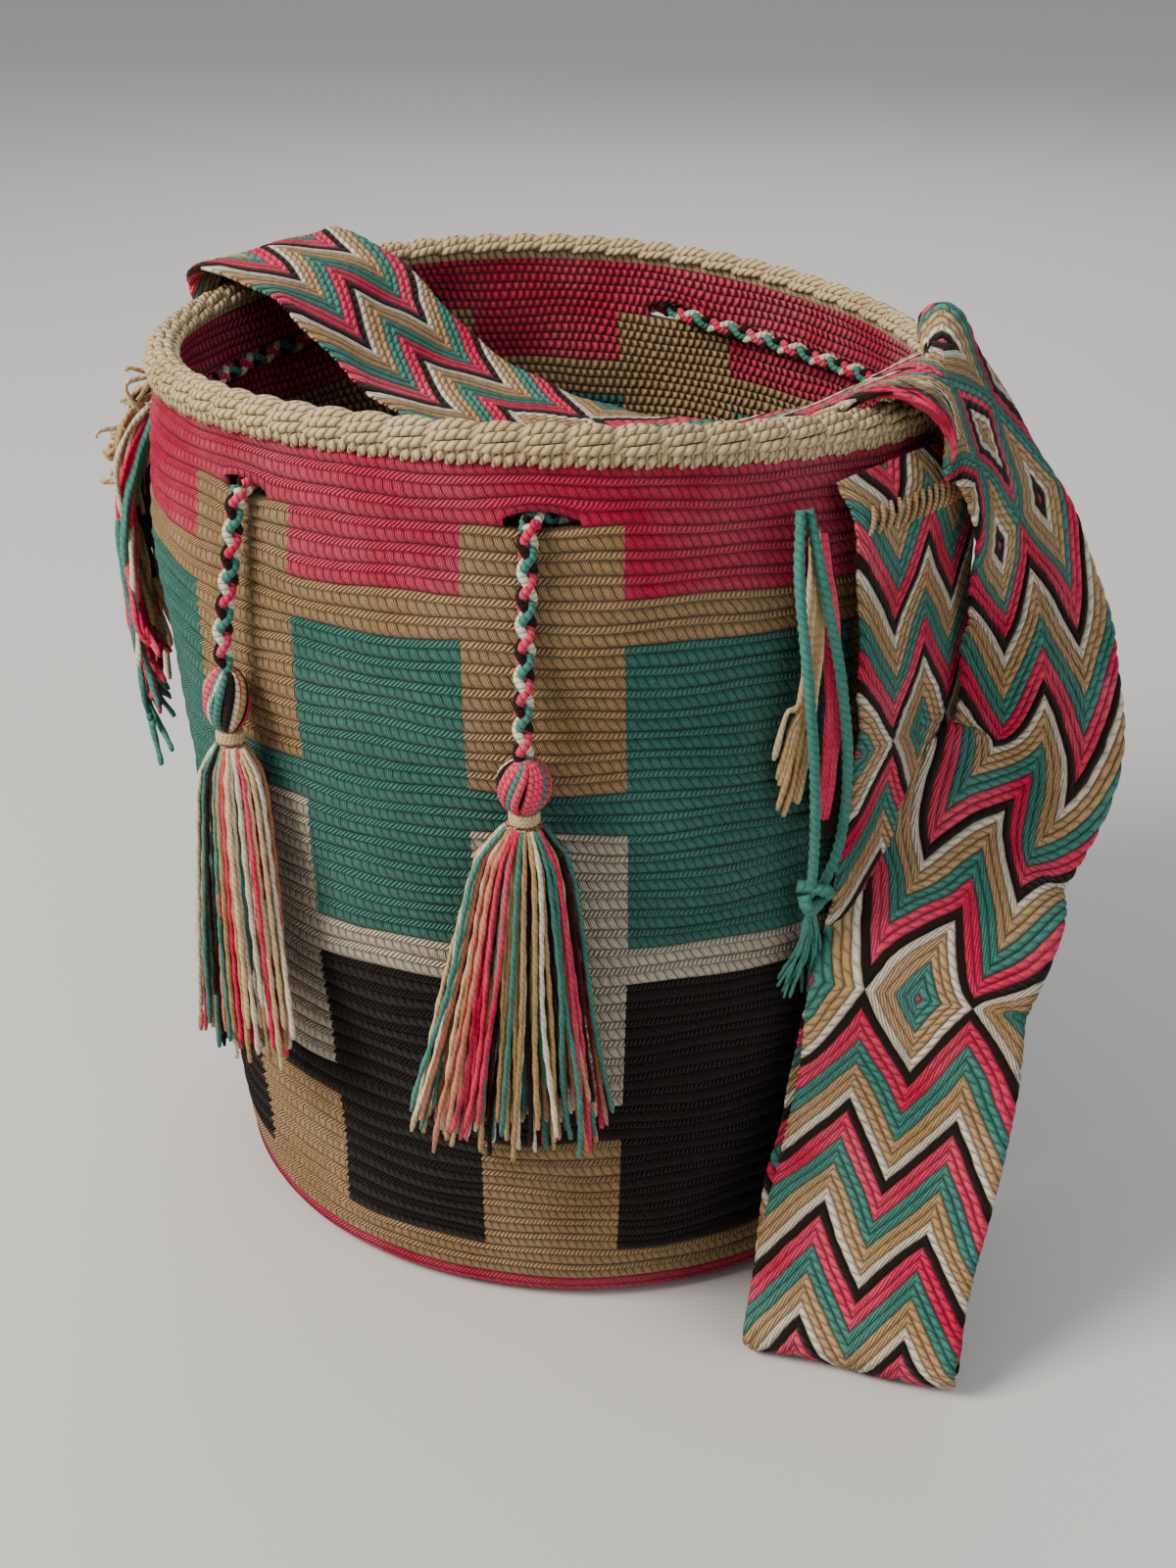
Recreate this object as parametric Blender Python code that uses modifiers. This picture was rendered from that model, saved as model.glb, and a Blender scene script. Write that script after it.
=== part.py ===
"""Wayuu mochila bag: crocheted bucket, scalloped edging, woven strap and a braided drawstring.

The bag stands on its base at z = 0, with the front eyelet towards -Y. All lengths are metres.
Angles run round the bag from the front, positive towards +X. Heights on the wall are given as
v, from 0 at the base to 1 at the top of the edging.
"""
import math

import bmesh
import bpy
from mathutils import Matrix, Vector

GAP = 0.0003                    # clearance between pieces that touch
WALL_THICKNESS = 0.0045
RIM_HEIGHT = 0.2946             # mean height of the top of the edging
EDGING_HEIGHT = 0.0080
EDGING_THICKNESS = 0.0066
AROUND = 64                     # facets round the bag

# The bag's outline, read off at these heights: half widths and centre shifts.
LEVELS = (0.0, 0.07, 0.25, 0.50, 0.80, 1.0)
HALF_WIDTH = (0.1215, 0.1235, 0.1270, 0.1308, 0.1322, 0.1269)
HALF_DEPTH = (0.1213, 0.1243, 0.1285, 0.1303, 0.1285, 0.1184)
CENTRE_X = (0.0, 0.0, -0.0005, -0.0018, -0.0062, -0.0077)
CENTRE_Y = (0.0, 0.0, -0.0008, -0.0013, -0.0023, -0.0011)
RIM_TILT = -0.0039              # the rim is lower on the right
RIM_WAVE = 0.0038               # and lower at both sides than at the front and back

# The seven eyelets are slits at the tops of the tan stems of the pattern.
EYELET_V = 0.918
EYELET_WIDTH = 0.022
EYELET_HEIGHT = 0.0085
EYELETS = {
    "front": -1.3, "right_1": 52.0, "right_2": 106.0, "right_3": 160.0,
    "left_3": -155.0, "left_2": -99.5, "left_1": -44.0,
}

UP = Vector((0.0, 0.0, 1.0))
STRAP_WIDTH = 0.067
STRAP_THICKNESS = 0.0032
CORD_RADIUS = 0.0025
SEAM_RADIUS = 0.0007
FRINGE_RADIUS = 0.0060

# The two ends of the drawstring hang out of these places, with a tassel on each. A drop is
# from the eyelet to the head's top; head is radius and height; skirt is the radius at the
# binding and at the hem, and the length.
CORD_EXIT = {"front": -2.6, "left": -43.0}
TASSELS = {
    "front": {"drop": 0.0660, "reach": 0.0122, "lean": -0.0012, "head": (0.0075, 0.0155),
              "neck": 0.0047, "skirt": (0.0085, 0.0285, 0.1100), "swing": -0.0050,
              "stand_off": 0.0035},
    "left": {"drop": 0.0540, "reach": 0.0100, "lean": -0.0006, "head": (0.0068, 0.0190),
             "neck": 0.0044, "skirt": (0.0072, 0.0180, 0.1050), "swing": 0.0036,
             "stand_off": 0.0060},
}
TASSEL_DEPTH = 0.42             # a skirt's hem is flatter against the wall than it is wide
BINDING_HEIGHT = 0.0042

TAN = (0.48, 0.30, 0.14)
EDGING_TAN = (0.56, 0.42, 0.22)
RASPBERRY = (0.60, 0.05, 0.11)
GREEN = (0.05, 0.21, 0.16)
CREAM = (0.66, 0.58, 0.44)


# ---------------------------------------------------------------- helpers

def clear_scene():
    for old in list(bpy.data.objects):
        bpy.data.objects.remove(old, do_unlink=True)


def collection(name):
    group = bpy.data.collections.new(name)
    bpy.context.scene.collection.children.link(group)
    return group


def material(name, colour, roughness=0.9):
    made = bpy.data.materials.new(name)
    made.use_nodes = True
    shader = made.node_tree.nodes["Principled BSDF"]
    shader.inputs["Base Color"].default_value = (*colour, 1.0)
    shader.inputs["Roughness"].default_value = roughness
    shader.inputs["Metallic"].default_value = 0.0
    return made


def add_object(name, data, group, finish):
    made = bpy.data.objects.new(name, data)
    group.objects.link(made)
    data.materials.append(finish)
    return made


def mesh_from(bm, name):
    bmesh.ops.recalc_face_normals(bm, faces=bm.faces)
    mesh = bpy.data.meshes.new(name)
    bm.to_mesh(mesh)
    bm.free()
    return mesh


def catmull(points, per_span):
    """Points on a smooth curve through the given points; a point is any tuple of numbers."""
    rows = [Vector(p) for p in points]
    rows = [rows[0] * 2 - rows[1]] + rows + [rows[-1] * 2 - rows[-2]]
    found = []
    for i in range(1, len(rows) - 2):
        a, b, c, d = rows[i - 1], rows[i], rows[i + 1], rows[i + 2]
        for k in range(per_span):
            t = k / per_span
            found.append(0.5 * (2 * b + (c - a) * t + (2 * a - 5 * b + 4 * c - d) * t * t
                                + (3 * b - a - 3 * c + d) * t ** 3))
    found.append(rows[-2].copy())
    return found


def even_steps(points, step):
    """The same line with its points at even distances of about one step."""
    lengths = [0.0]
    for a, b in zip(points, points[1:]):
        lengths.append(lengths[-1] + (b - a).length)
    count = max(2, round(lengths[-1] / step))
    found = []
    at = 0
    for k in range(count + 1):
        goal = lengths[-1] * k / count
        while at < len(points) - 2 and lengths[at + 1] < goal:
            at += 1
        span = max(lengths[at + 1] - lengths[at], 1e-9)
        found.append(points[at].lerp(points[at + 1], (goal - lengths[at]) / span))
    return found


def at_level(values, v):
    """A value on the smooth curve through the outline's values at the given height."""
    v = min(max(v, 0.0), 1.0)
    i = max(k for k in range(len(LEVELS) - 1) if LEVELS[k] <= v)
    slopes = [(values[min(k + 1, len(values) - 1)] - values[max(k - 1, 0)])
              / (LEVELS[min(k + 1, len(values) - 1)] - LEVELS[max(k - 1, 0)])
              for k in range(len(values))]
    span = LEVELS[i + 1] - LEVELS[i]
    t = (v - LEVELS[i]) / span
    return ((2 * t ** 3 - 3 * t * t + 1) * values[i] + (t ** 3 - 2 * t * t + t) * span * slopes[i]
            + (3 * t * t - 2 * t ** 3) * values[i + 1] + (t ** 3 - t * t) * span * slopes[i + 1])


def outward(degrees, v=0.5):
    """The wall's horizontal outward direction."""
    turn = math.radians(degrees)
    return Vector((math.sin(turn) / at_level(HALF_WIDTH, v),
                   -math.cos(turn) / at_level(HALF_DEPTH, v), 0.0)).normalized()


def sideways(degrees, v=0.5):
    """The wall's horizontal direction along its face, towards growing angles."""
    out = outward(degrees, v)
    return Vector((-out.y, out.x, 0.0))


def wall(degrees, v, off=0.0, up=0.0):
    """A point on the wall's outer face, moved out by off and up by up."""
    turn = math.radians(degrees)
    wave = RIM_TILT * math.sin(turn) + RIM_WAVE * math.cos(2 * turn)
    place = Vector((at_level(CENTRE_X, v) + at_level(HALF_WIDTH, v) * math.sin(turn),
                    at_level(CENTRE_Y, v) - at_level(HALF_DEPTH, v) * math.cos(turn),
                    RIM_HEIGHT * v + wave * v * v + up))
    return place + outward(degrees, v) * off


def tube(name, points, radius, group, finish, resolution=2, radii=None):
    """A closed round tube along the points; radii scales it point by point."""
    curve = bpy.data.curves.new(name, "CURVE")
    curve.dimensions = "3D"
    curve.bevel_depth = radius
    curve.bevel_resolution = resolution
    curve.use_fill_caps = True
    curve.resolution_u = 1
    curve.render_resolution_u = 0
    spline = curve.splines.new("POLY")
    spline.points.add(len(points) - 1)
    for i, (spot, place) in enumerate(zip(spline.points, points)):
        spot.co = (*place, 1.0)
        spot.radius = radii[i] if radii else 1.0
    return add_object(name, curve, group, finish)


def turned(name, profile, group, finish, segments=24):
    """A turned solid: profile of (radius, height) from the top down, round the Z axis."""
    mesh = bpy.data.meshes.new(name)
    mesh.from_pydata([(r, 0.0, z) for r, z in profile],
                     [(i, i + 1) for i in range(len(profile) - 1)], [])
    made = add_object(name, mesh, group, finish)
    screw = made.modifiers.new("turn", "SCREW")
    screw.steps = segments
    screw.render_steps = segments
    screw.use_merge_vertices = True
    screw.merge_threshold = 0.00005
    return made


# ---------------------------------------------------------------- crocheted body

def spun_shell(profile):
    """A closed profile of (level, depth in from the outer face) pairs, spun round the bag."""
    bm = bmesh.new()
    corners = [bm.verts.new((1.0 - depth, 0.0, level)) for level, depth in profile]
    edges = [bm.edges.new((a, b)) for a, b in zip(corners, corners[1:] + corners[:1])]
    bmesh.ops.spin(bm, geom=corners + edges, cent=(0, 0, 0), axis=(0, 0, 1), dvec=(0, 0, 0),
                   angle=2 * math.pi, steps=AROUND, use_merge=True)
    bmesh.ops.remove_doubles(bm, verts=bm.verts, dist=1e-6)
    for vert in bm.verts:
        degrees = math.degrees(math.atan2(vert.co.x, -vert.co.y))
        depth = 1.0 - math.hypot(vert.co.x, vert.co.y)
        vert.co = wall(degrees, vert.co.z, -depth)
    return bm


def crocheted_body(group, cutters):
    """Base disc and wall, crocheted in one piece, with seven eyelet slits below the rim."""
    top = 1.0 - (EDGING_HEIGHT + GAP) / RIM_HEIGHT
    outer = [0.012, 0.04, 0.12, 0.25, 0.38, 0.50, 0.62, 0.74, 0.84, EYELET_V, top]
    bm = bmesh.new()
    bmesh.ops.create_circle(bm, cap_ends=True, radius=1.0, segments=AROUND)
    rings = [(0.0, 0.004)] + [(v, 0.0) for v in outer]
    rings += [(v, WALL_THICKNESS) for v in reversed(outer[1:])]
    rings += [(WALL_THICKNESS / RIM_HEIGHT, 0.009)]
    edges = bm.edges[:]
    place_ring(bm.verts, *rings[0])
    for level, depth in rings[1:]:
        grown = bmesh.ops.extrude_edge_only(bm, edges=edges)["geom"]
        edges = [item for item in grown if isinstance(item, bmesh.types.BMEdge)]
        place_ring([item for item in grown if isinstance(item, bmesh.types.BMVert)], level, depth)
    bmesh.ops.contextual_create(bm, geom=edges)
    body = add_object("bag_body", mesh_from(bm, "bag_body"), group,
                      material("wall_yarn", TAN))
    for name, degrees in EYELETS.items():
        cut_slit(body, name, degrees, cutters)
    return body


def place_ring(verts, level, depth):
    """Sets a ring of AROUND vertices at one height of the wall."""
    for vert in verts:
        degrees = math.degrees(math.atan2(vert.co.x, -vert.co.y))
        vert.co = wall(degrees, level, -depth)


def cut_slit(body, name, degrees, cutters):
    bm = bmesh.new()
    bmesh.ops.create_cube(bm, size=1.0)
    bmesh.ops.scale(bm, verts=bm.verts, vec=(EYELET_WIDTH, 0.030, EYELET_HEIGHT))
    out = outward(degrees, EYELET_V)
    turn = Matrix.Rotation(math.atan2(out.x, -out.y), 3, "Z")
    bmesh.ops.rotate(bm, verts=bm.verts, cent=(0, 0, 0), matrix=turn)
    bmesh.ops.translate(bm, verts=bm.verts, vec=wall(degrees, EYELET_V))
    mesh = mesh_from(bm, "slit_" + name)
    cutter = bpy.data.objects.new("slit_" + name, mesh)
    cutters.objects.link(cutter)
    cutter.hide_render = True
    cutter.display_type = "WIRE"
    cut = body.modifiers.new("slit_" + name, "BOOLEAN")
    cut.operation = "DIFFERENCE"
    cut.solver = "EXACT"
    cut.object = cutter


def rim_edging(group):
    """The scalloped border worked round the top edge of the wall, as a plain rounded ring."""
    proud = (EDGING_THICKNESS - WALL_THICKNESS) / 2
    low = 1.0 - EDGING_HEIGHT / RIM_HEIGHT
    high = 1.0
    soft = 0.25 * (high - low)
    profile = [
        (low, proud * 0.2), (low + soft, -proud), (high - soft, -proud), (high, proud),
        (high, WALL_THICKNESS - proud), (high - soft, WALL_THICKNESS + proud),
        (low + soft, WALL_THICKNESS + proud), (low, WALL_THICKNESS - proud * 0.2),
    ]
    return add_object("rim_edging", mesh_from(spun_shell(profile), "rim_edging"), group,
                      material("edging_yarn", EDGING_TAN))


# ---------------------------------------------------------------- strap

def strap_route():
    """The strap from the left seam to the right seam: centre, width direction, and how far
    its edges are cupped towards its lower face."""
    rim_left = wall(-127, 1.0)
    rim_right = wall(61, 1.0)
    over_left = -sideways(-127)
    over_right = Vector((0.48, 0.86, 0.0))
    on_wall = sideways(53)
    foot = Vector((0.0856, -0.1600, 0.0))
    foot_width = Vector((0.95, -0.31, 0.0))
    foot_back = Vector((0.31, 0.95, 0.0))
    hug = 0.0042
    return [
        (wall(-127, 0.855, 0.0034), over_left, hug),
        (wall(-127, 0.905, 0.0034), over_left, hug),
        (wall(-127, 0.960, 0.0052), over_left, hug),
        (rim_left + outward(-127) * 0.0052 + UP * 0.0040, over_left, hug * 0.5),
        (rim_left - outward(-127) * 0.0050 + UP * 0.0080, over_left, 0.0),
        (Vector((-0.0850, 0.0585, 0.2985)), Vector((0.55, 0.83, 0.0)), 0.0),
        (Vector((-0.0690, 0.0490, 0.2855)), Vector((0.53, 0.84, 0.0)), 0.0),
        (Vector((-0.0490, 0.0380, 0.2690)), Vector((0.53, 0.84, 0.0)), 0.0),
        (Vector((-0.0200, 0.0220, 0.2580)), Vector((0.52, 0.85, 0.0)), 0.0),
        (Vector((0.0120, 0.0050, 0.2545)), Vector((0.50, 0.86, 0.0)), 0.0),
        (Vector((0.0420, -0.0120, 0.2590)), over_right, 0.0),
        (Vector((0.0700, -0.0300, 0.2725)), over_right, 0.0),
        (Vector((0.0890, -0.0460, 0.2885)), over_right, 0.0),
        (rim_right + Vector((0.0020, 0.0030, 0.0070)), Vector((0.47, 0.88, -0.06)), 0.0),
        (Vector((0.1185, -0.0500, 0.2830)), Vector((0.48, 0.86, -0.12)), 0.0),
        (Vector((0.1319, -0.0470, 0.2603)), Vector((0.51, 0.82, -0.26)), 0.0),
        (Vector((0.1438, -0.0470, 0.2298)), Vector((0.70, 0.65, -0.30)), 0.0),
        (Vector((0.1482, -0.0530, 0.2078)), Vector((0.79, 0.56, -0.25)), 0.0),
        (Vector((0.1475, -0.0680, 0.1755)), Vector((0.87, 0.46, -0.19)), 0.0),
        (Vector((0.1290, -0.0875, 0.1560)), Vector((0.92, 0.35, -0.15)), 0.0),
        (Vector((0.1198, -0.1045, 0.1405)), Vector((0.97, 0.20, -0.10)), 0.0),
        (Vector((0.1064, -0.1215, 0.1225)), Vector((1.00, 0.00, 0.00)), 0.0),
        (Vector((0.1030, -0.1305, 0.0915)), Vector((0.99, -0.10, 0.0)), 0.0),
        (Vector((0.0966, -0.1400, 0.0600)), Vector((0.97, -0.20, 0.0)), 0.0),
        (Vector((0.0912, -0.1475, 0.0400)), Vector((0.96, -0.27, 0.0)), 0.0),
        (foot + UP * 0.0130, foot_width, 0.0),
        (foot + foot_back * 0.0005 + UP * 0.0052, foot_width, 0.0),
        (foot + foot_back * 0.0042 + UP * 0.0022, foot_width, 0.0),
        (foot + foot_back * 0.0080 + UP * 0.0050, foot_width, 0.0),
        (foot + foot_back * 0.0105 + UP * 0.0130, foot_width, 0.0),
        (Vector((0.0925, -0.1300, 0.0345)), Vector((0.95, -0.05, 0.0)), 0.0),
        (Vector((0.0968, -0.1130, 0.0620)), Vector((0.92, 0.38, 0.0)), 0.0),
        (Vector((0.1010, -0.0985, 0.0920)), Vector((0.86, 0.50, 0.0)), -hug * 0.4),
        (wall(49, 0.440, 0.0075), sideways(46), -hug * 0.8),
        (wall(51, 0.560, 0.0055), sideways(51), -hug),
        (wall(53, 0.680, 0.0048), on_wall, -hug),
        (wall(53, 0.800, 0.0060), on_wall, -hug),
        (wall(53, 0.880, 0.0085), on_wall, -hug),
        (wall(53, 0.930, 0.0085), on_wall, -hug),
        (wall(53, 0.958, 0.0050), on_wall, -hug),
    ]


STRAP_STEP = 0.0050             # length of one facet along the strap
STRAP_ACROSS = 4                # facets across it


def strap_frames():
    """Evenly spaced places along the strap: centre, width and face directions, and cup."""
    rows = [Vector((*place, *width, cup)) for place, width, cup in strap_route()]
    fine = catmull(rows, 8)
    lengths = [0.0]
    for a, b in zip(fine, fine[1:]):
        lengths.append(lengths[-1] + (Vector(b[:3]) - Vector(a[:3])).length)
    count = round(lengths[-1] / STRAP_STEP)
    frames = []
    at = 0
    for k in range(count + 1):
        goal = lengths[-1] * k / count
        while at < len(fine) - 2 and lengths[at + 1] < goal:
            at += 1
        t = (goal - lengths[at]) / max(lengths[at + 1] - lengths[at], 1e-9)
        here = fine[at].lerp(fine[at + 1], t)
        run = (Vector(fine[at + 1][:3]) - Vector(fine[at][:3])).normalized()
        width = Vector(here[3:6])
        width = (width - run * width.dot(run)).normalized()
        frames.append((Vector(here[:3]), width, width.cross(run), here[6]))
    return frames


def strap_point(frame, across, off=0.0):
    """A point on the strap, with across from -0.5 to 0.5, moved along its face direction."""
    centre, width, face, cup = frame
    return centre + width * across * STRAP_WIDTH + face * (cup * 4 * across * across + off)


def strap(group):
    """One woven band, sewn outside the wall at both ends, over the rim on both sides."""
    frames = strap_frames()
    bm = bmesh.new()
    bmesh.ops.create_grid(bm, x_segments=STRAP_ACROSS, y_segments=len(frames) - 1, size=0.5)
    for vert in bm.verts:
        k = round((vert.co.y + 0.5) * (len(frames) - 1))
        vert.co = strap_point(frames[k], vert.co.x)
    made = add_object("strap", mesh_from(bm, "strap"), group, material("strap_yarn", GREEN))
    wall_of = made.modifiers.new("thickness", "SOLIDIFY")
    wall_of.thickness = STRAP_THICKNESS
    wall_of.offset = 0.0
    wall_of.use_even_offset = False
    return made


def seam(name, rows, side, group, finish):
    """A zigzag of sewing yarn across one end of the strap, on the face away from the wall."""
    frames = strap_frames()
    turns = 14
    off = side * (STRAP_THICKNESS / 2 + SEAM_RADIUS + GAP)
    points = []
    for i in range(turns + 1):
        across = 0.47 * (-1.0 + 2.0 * i / turns)
        points.append(strap_point(frames[rows[i % 2]], across, off))
    return tube(name, points, SEAM_RADIUS, group, finish, resolution=1)


# ---------------------------------------------------------------- fringes, cord, tassels

def fringes(group):
    """Loose ends of the strap's yarns, which hang in a bunch beside each seam."""
    left = [wall(-107.0, 0.88, 0.0075), wall(-106, 0.82, 0.0115), wall(-104.5, 0.74, 0.0120),
            wall(-103, 0.66, 0.0105), wall(-102, 0.58, 0.0095)]
    right = [wall(33.0, 0.905, 0.0080), wall(32, 0.82, 0.0095), wall(33, 0.72, 0.0100),
             wall(33.5, 0.62, 0.0095), wall(33, 0.54, 0.0085), wall(31.5, 0.465, 0.0070)]
    yarn = material("fringe_yarn", GREEN)
    for name, route in (("strap_fringe_left", left), ("strap_fringe_right", right)):
        points = even_steps(catmull(route, 8), 0.010)
        thick = [0.75 + 0.25 * math.sin(math.pi * k / (len(points) - 1))
                 for k in range(len(points))]
        tube(name, points, FRINGE_RADIUS, group, yarn, radii=thick)


def drawstring(group):
    """The braided cord from the front eyelet round the bag to the left one, in and out."""
    out = CORD_RADIUS + 0.0007
    inside = -(WALL_THICKNESS + CORD_RADIUS + 0.0007)
    turn = 4.2                  # degrees from an eyelet's middle to where the cord lies flat
    stops = [("right_1", inside, out), ("right_2", out, inside), ("right_3", inside, out),
             ("left_3", out, inside)]
    points = [wall(CORD_EXIT["front"], EYELET_V, 0.0),
              wall(CORD_EXIT["front"] + 0.9, EYELET_V, -0.0040),
              wall(CORD_EXIT["front"] + 4.0, EYELET_V, inside)]
    here = CORD_EXIT["front"] + 4.0
    for name, before, after in stops:
        middle = EYELETS[name] % 360
        points += along_wall(here, middle - turn, before)
        points += [wall(middle - turn, EYELET_V, before),
                   wall(middle, EYELET_V, (before + after) / 2),
                   wall(middle + turn, EYELET_V, after)]
        here = middle + turn
    end = CORD_EXIT["left"] % 360
    points += along_wall(here, end - 4.0, inside)
    points += [wall(end - 4.0, EYELET_V, inside), wall(end - 0.9, EYELET_V, -0.0040),
               wall(end, EYELET_V, 0.0)]
    line = even_steps(catmull(points, 6), 0.0085)
    return tube("drawstring", line, CORD_RADIUS, group, material("cord_yarn", CREAM))


def along_wall(start, end, off):
    """Points of a stretch of cord that lies along the wall and sags a little."""
    steps = max(2, round((end - start) / 11.0))
    return [wall(start + (end - start) * k / steps, EYELET_V, off,
                 -0.0025 * math.sin(math.pi * k / steps)) for k in range(1, steps)]


def tassel_frame(side):
    """Exit of the cord, and the outward and sideways directions there."""
    degrees = CORD_EXIT[side]
    out = outward(degrees, EYELET_V)
    return wall(degrees, EYELET_V, 0.0030), out, Vector((-out.y, out.x, 0.0))


def placed(made, spot, out, along):
    """Moves a mesh made about the origin to its spot, with X along the wall and -Y outward."""
    turn = Matrix((along, -out, UP)).transposed().to_4x4()
    made.matrix_world = Matrix.Translation(spot) @ turn
    return made


def tassel(side, group, yarn):
    """A hanging end of the drawstring with its head, binding and skirt, on an empty that
    stands at the eyelet, where the cord swings."""
    size = TASSELS[side]
    spot, out, along = tassel_frame(side)
    pivot = bpy.data.objects.new("tassel_" + side + "_pivot", None)
    group.objects.link(pivot)
    pivot.location = spot
    head_radius, head_height = size["head"]
    top = spot - UP * size["drop"] + out * size["reach"] + along * size["lean"]
    cord_end = top + UP * GAP
    route = [spot, spot - UP * 0.0030 + out * 0.0014, spot - UP * 0.0100 + out * 0.0032,
             spot.lerp(cord_end, 0.45) + out * 0.0012,
             cord_end + UP * 0.012 - out * 0.0003, cord_end]
    pieces = [tube("tassel_" + side + "_cord", even_steps(catmull(route, 8), 0.006),
                   CORD_RADIUS, group, yarn["cord"])]

    head = turned("tassel_" + side + "_head", head_profile(head_radius, head_height),
                  group, yarn["head"])
    pieces.append(placed(head, top, out, along))
    low = top - UP * (head_height + GAP)
    neck = size["neck"]
    rim = 0.0006
    binding = turned("tassel_" + side + "_binding",
                     [(0.0, 0.0), (neck - rim, 0.0), (neck, -rim), (neck, rim - BINDING_HEIGHT),
                      (neck - rim, -BINDING_HEIGHT), (0.0, -BINDING_HEIGHT)],
                     group, yarn["binding"])
    pieces.append(placed(binding, low, out, along))
    pieces.append(skirt(side, low - UP * (BINDING_HEIGHT + GAP), out, along, group, yarn["skirt"]))
    bpy.context.view_layer.update()
    for piece in pieces:
        keep = piece.matrix_world.copy()
        piece.parent = pivot
        piece.matrix_world = keep


def head_profile(radius, height):
    """An egg-shaped bulb, from its top at zero down its outer side."""
    steps = 10
    profile = []
    for k in range(steps + 1):
        turn = math.pi * k / steps
        profile.append((radius * math.sin(turn), -height / 2 * (1 - math.cos(turn))))
    return profile


def skirt(side, top, out, along, group, finish):
    """The hanging strands as one solid: a cone, wide at the hem and flat against the wall."""
    neck, hem, length = TASSELS[side]["skirt"]
    bm = bmesh.new()
    bmesh.ops.create_cone(bm, cap_ends=True, segments=20, radius1=hem, radius2=neck,
                          depth=length)
    for vert in bm.verts:
        share = 0.5 - vert.co.z / length
        depth = vert.co.y * (TASSEL_DEPTH + (1 - share) * (0.9 - TASSEL_DEPTH))
        shift = TASSELS[side]["swing"] * share
        forward = TASSELS[side]["stand_off"] * share
        vert.co = (top - UP * length * share + along * (vert.co.x + shift)
                   + out * (forward - depth))
    name = "tassel_" + side + "_skirt"
    return add_object(name, mesh_from(bm, name), group, finish)


def main():
    clear_scene()
    bag = collection("wayuu_mochila_bag")
    cutters = collection("cutters")
    crocheted_body(bag, cutters)
    rim_edging(bag)
    strap(bag)
    sewing = material("sewing_yarn", TAN)
    last = len(strap_frames()) - 1
    seam("strap_seam_left", (2, 3), -1, bag, sewing)
    seam("strap_seam_right", (last - 3, last - 2), 1, bag, sewing)
    fringes(bag)
    drawstring(bag)
    yarn = {"cord": material("hanging_cord_yarn", CREAM), "head": material("head_yarn", RASPBERRY),
            "binding": material("binding_yarn", EDGING_TAN), "skirt": material("skirt_yarn", TAN)}
    for side in TASSELS:
        tassel(side, bag, yarn)


main()
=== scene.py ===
"""Wayuu mochila bag: the looks of a crocheted bucket with a woven strap and two tassels.

Run as a script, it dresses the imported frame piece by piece. All lengths are metres. Angles run
round the bag from the front, positive towards +X, and v is a height on the wall from 0 at the
base to 1 at the top of the edging.
"""
import math
import random

import bmesh
import bpy
import numpy as np
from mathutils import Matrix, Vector


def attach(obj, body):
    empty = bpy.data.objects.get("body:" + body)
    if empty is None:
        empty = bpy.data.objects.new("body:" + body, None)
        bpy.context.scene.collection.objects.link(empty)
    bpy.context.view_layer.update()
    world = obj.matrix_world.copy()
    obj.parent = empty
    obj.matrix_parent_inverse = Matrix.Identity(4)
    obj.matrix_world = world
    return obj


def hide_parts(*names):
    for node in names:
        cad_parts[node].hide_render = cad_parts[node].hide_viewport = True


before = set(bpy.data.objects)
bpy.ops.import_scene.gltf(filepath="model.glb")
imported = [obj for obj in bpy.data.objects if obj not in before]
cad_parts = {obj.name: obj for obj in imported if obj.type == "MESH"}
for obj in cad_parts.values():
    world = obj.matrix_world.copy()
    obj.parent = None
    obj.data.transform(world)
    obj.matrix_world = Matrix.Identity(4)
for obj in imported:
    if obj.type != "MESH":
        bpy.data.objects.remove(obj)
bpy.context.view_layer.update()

bl_info = {
    "name": "Wayuu mochila bag",
    "version": (1, 0, 0),
    "blender": (4, 5, 0),
    "location": "View3D > Sidebar > Mochila",
    "description": "Crochet, weaving, cords and tassels of a mochila bag on its packed frame",
    "category": "Add Mesh",
}

# The bag's outline: half widths and centre shifts at these heights.
LEVELS = (0.0, 0.07, 0.25, 0.50, 0.80, 1.0)
HALF_WIDTH = (0.1215, 0.1235, 0.1270, 0.1308, 0.1322, 0.1269)
HALF_DEPTH = (0.1213, 0.1243, 0.1285, 0.1303, 0.1285, 0.1184)
CENTRE_X = (0.0, 0.0, -0.0005, -0.0018, -0.0062, -0.0077)
CENTRE_Y = (0.0, 0.0, -0.0008, -0.0013, -0.0023, -0.0011)
RIM_HEIGHT = 0.2946
RIM_TILT = -0.0039
RIM_WAVE = 0.0038
WALL_THICKNESS = 0.0045

# Rows of crochet, counted from the base.
ROWS = 45.2
ROW_START = 0.2
TOP_ROW = 44.2
BASE_ROUNDS = 18
STITCHES = 280
EYELET_ROW = 41.2
EYELET_SLIT = 0.34              # rows that a slit is high, before the stitches part
EYELET_HALF = 4.6               # degrees from an eyelet's middle to its ends
EYELET_V = 0.918
EDGING_V = 0.9865
EYELETS = {
    "front": -1.3, "right_1": 52.0, "right_2": 106.0, "right_3": 160.0,
    "left_3": -155.0, "left_2": -99.5, "left_1": -44.0,
}
# Edges of the stems and blocks of the pattern at row 38, in turn, from the front stem's left.
COLUMN_EDGES = (-11.4, 8.85, 42.0, 62.0, 96.0, 116.0, 150.0, 169.8, 194.8, 215.0, 250.5, 270.5,
                304.0, 324.2, 348.6)

# The wall's UV map: rows over UV_ROWS, raised by a shift that tells its two faces apart.
UV_ROWS = 140.0
UV_TURN = 60.0
OUTER_SHIFT = 20.0
INNER_SHIFT = 90.0
# A column leans this many degrees between the base and row 38, where its edges are given.
COLUMN_LEAN = 3.2
EDGES_ROW = 38.0

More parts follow.
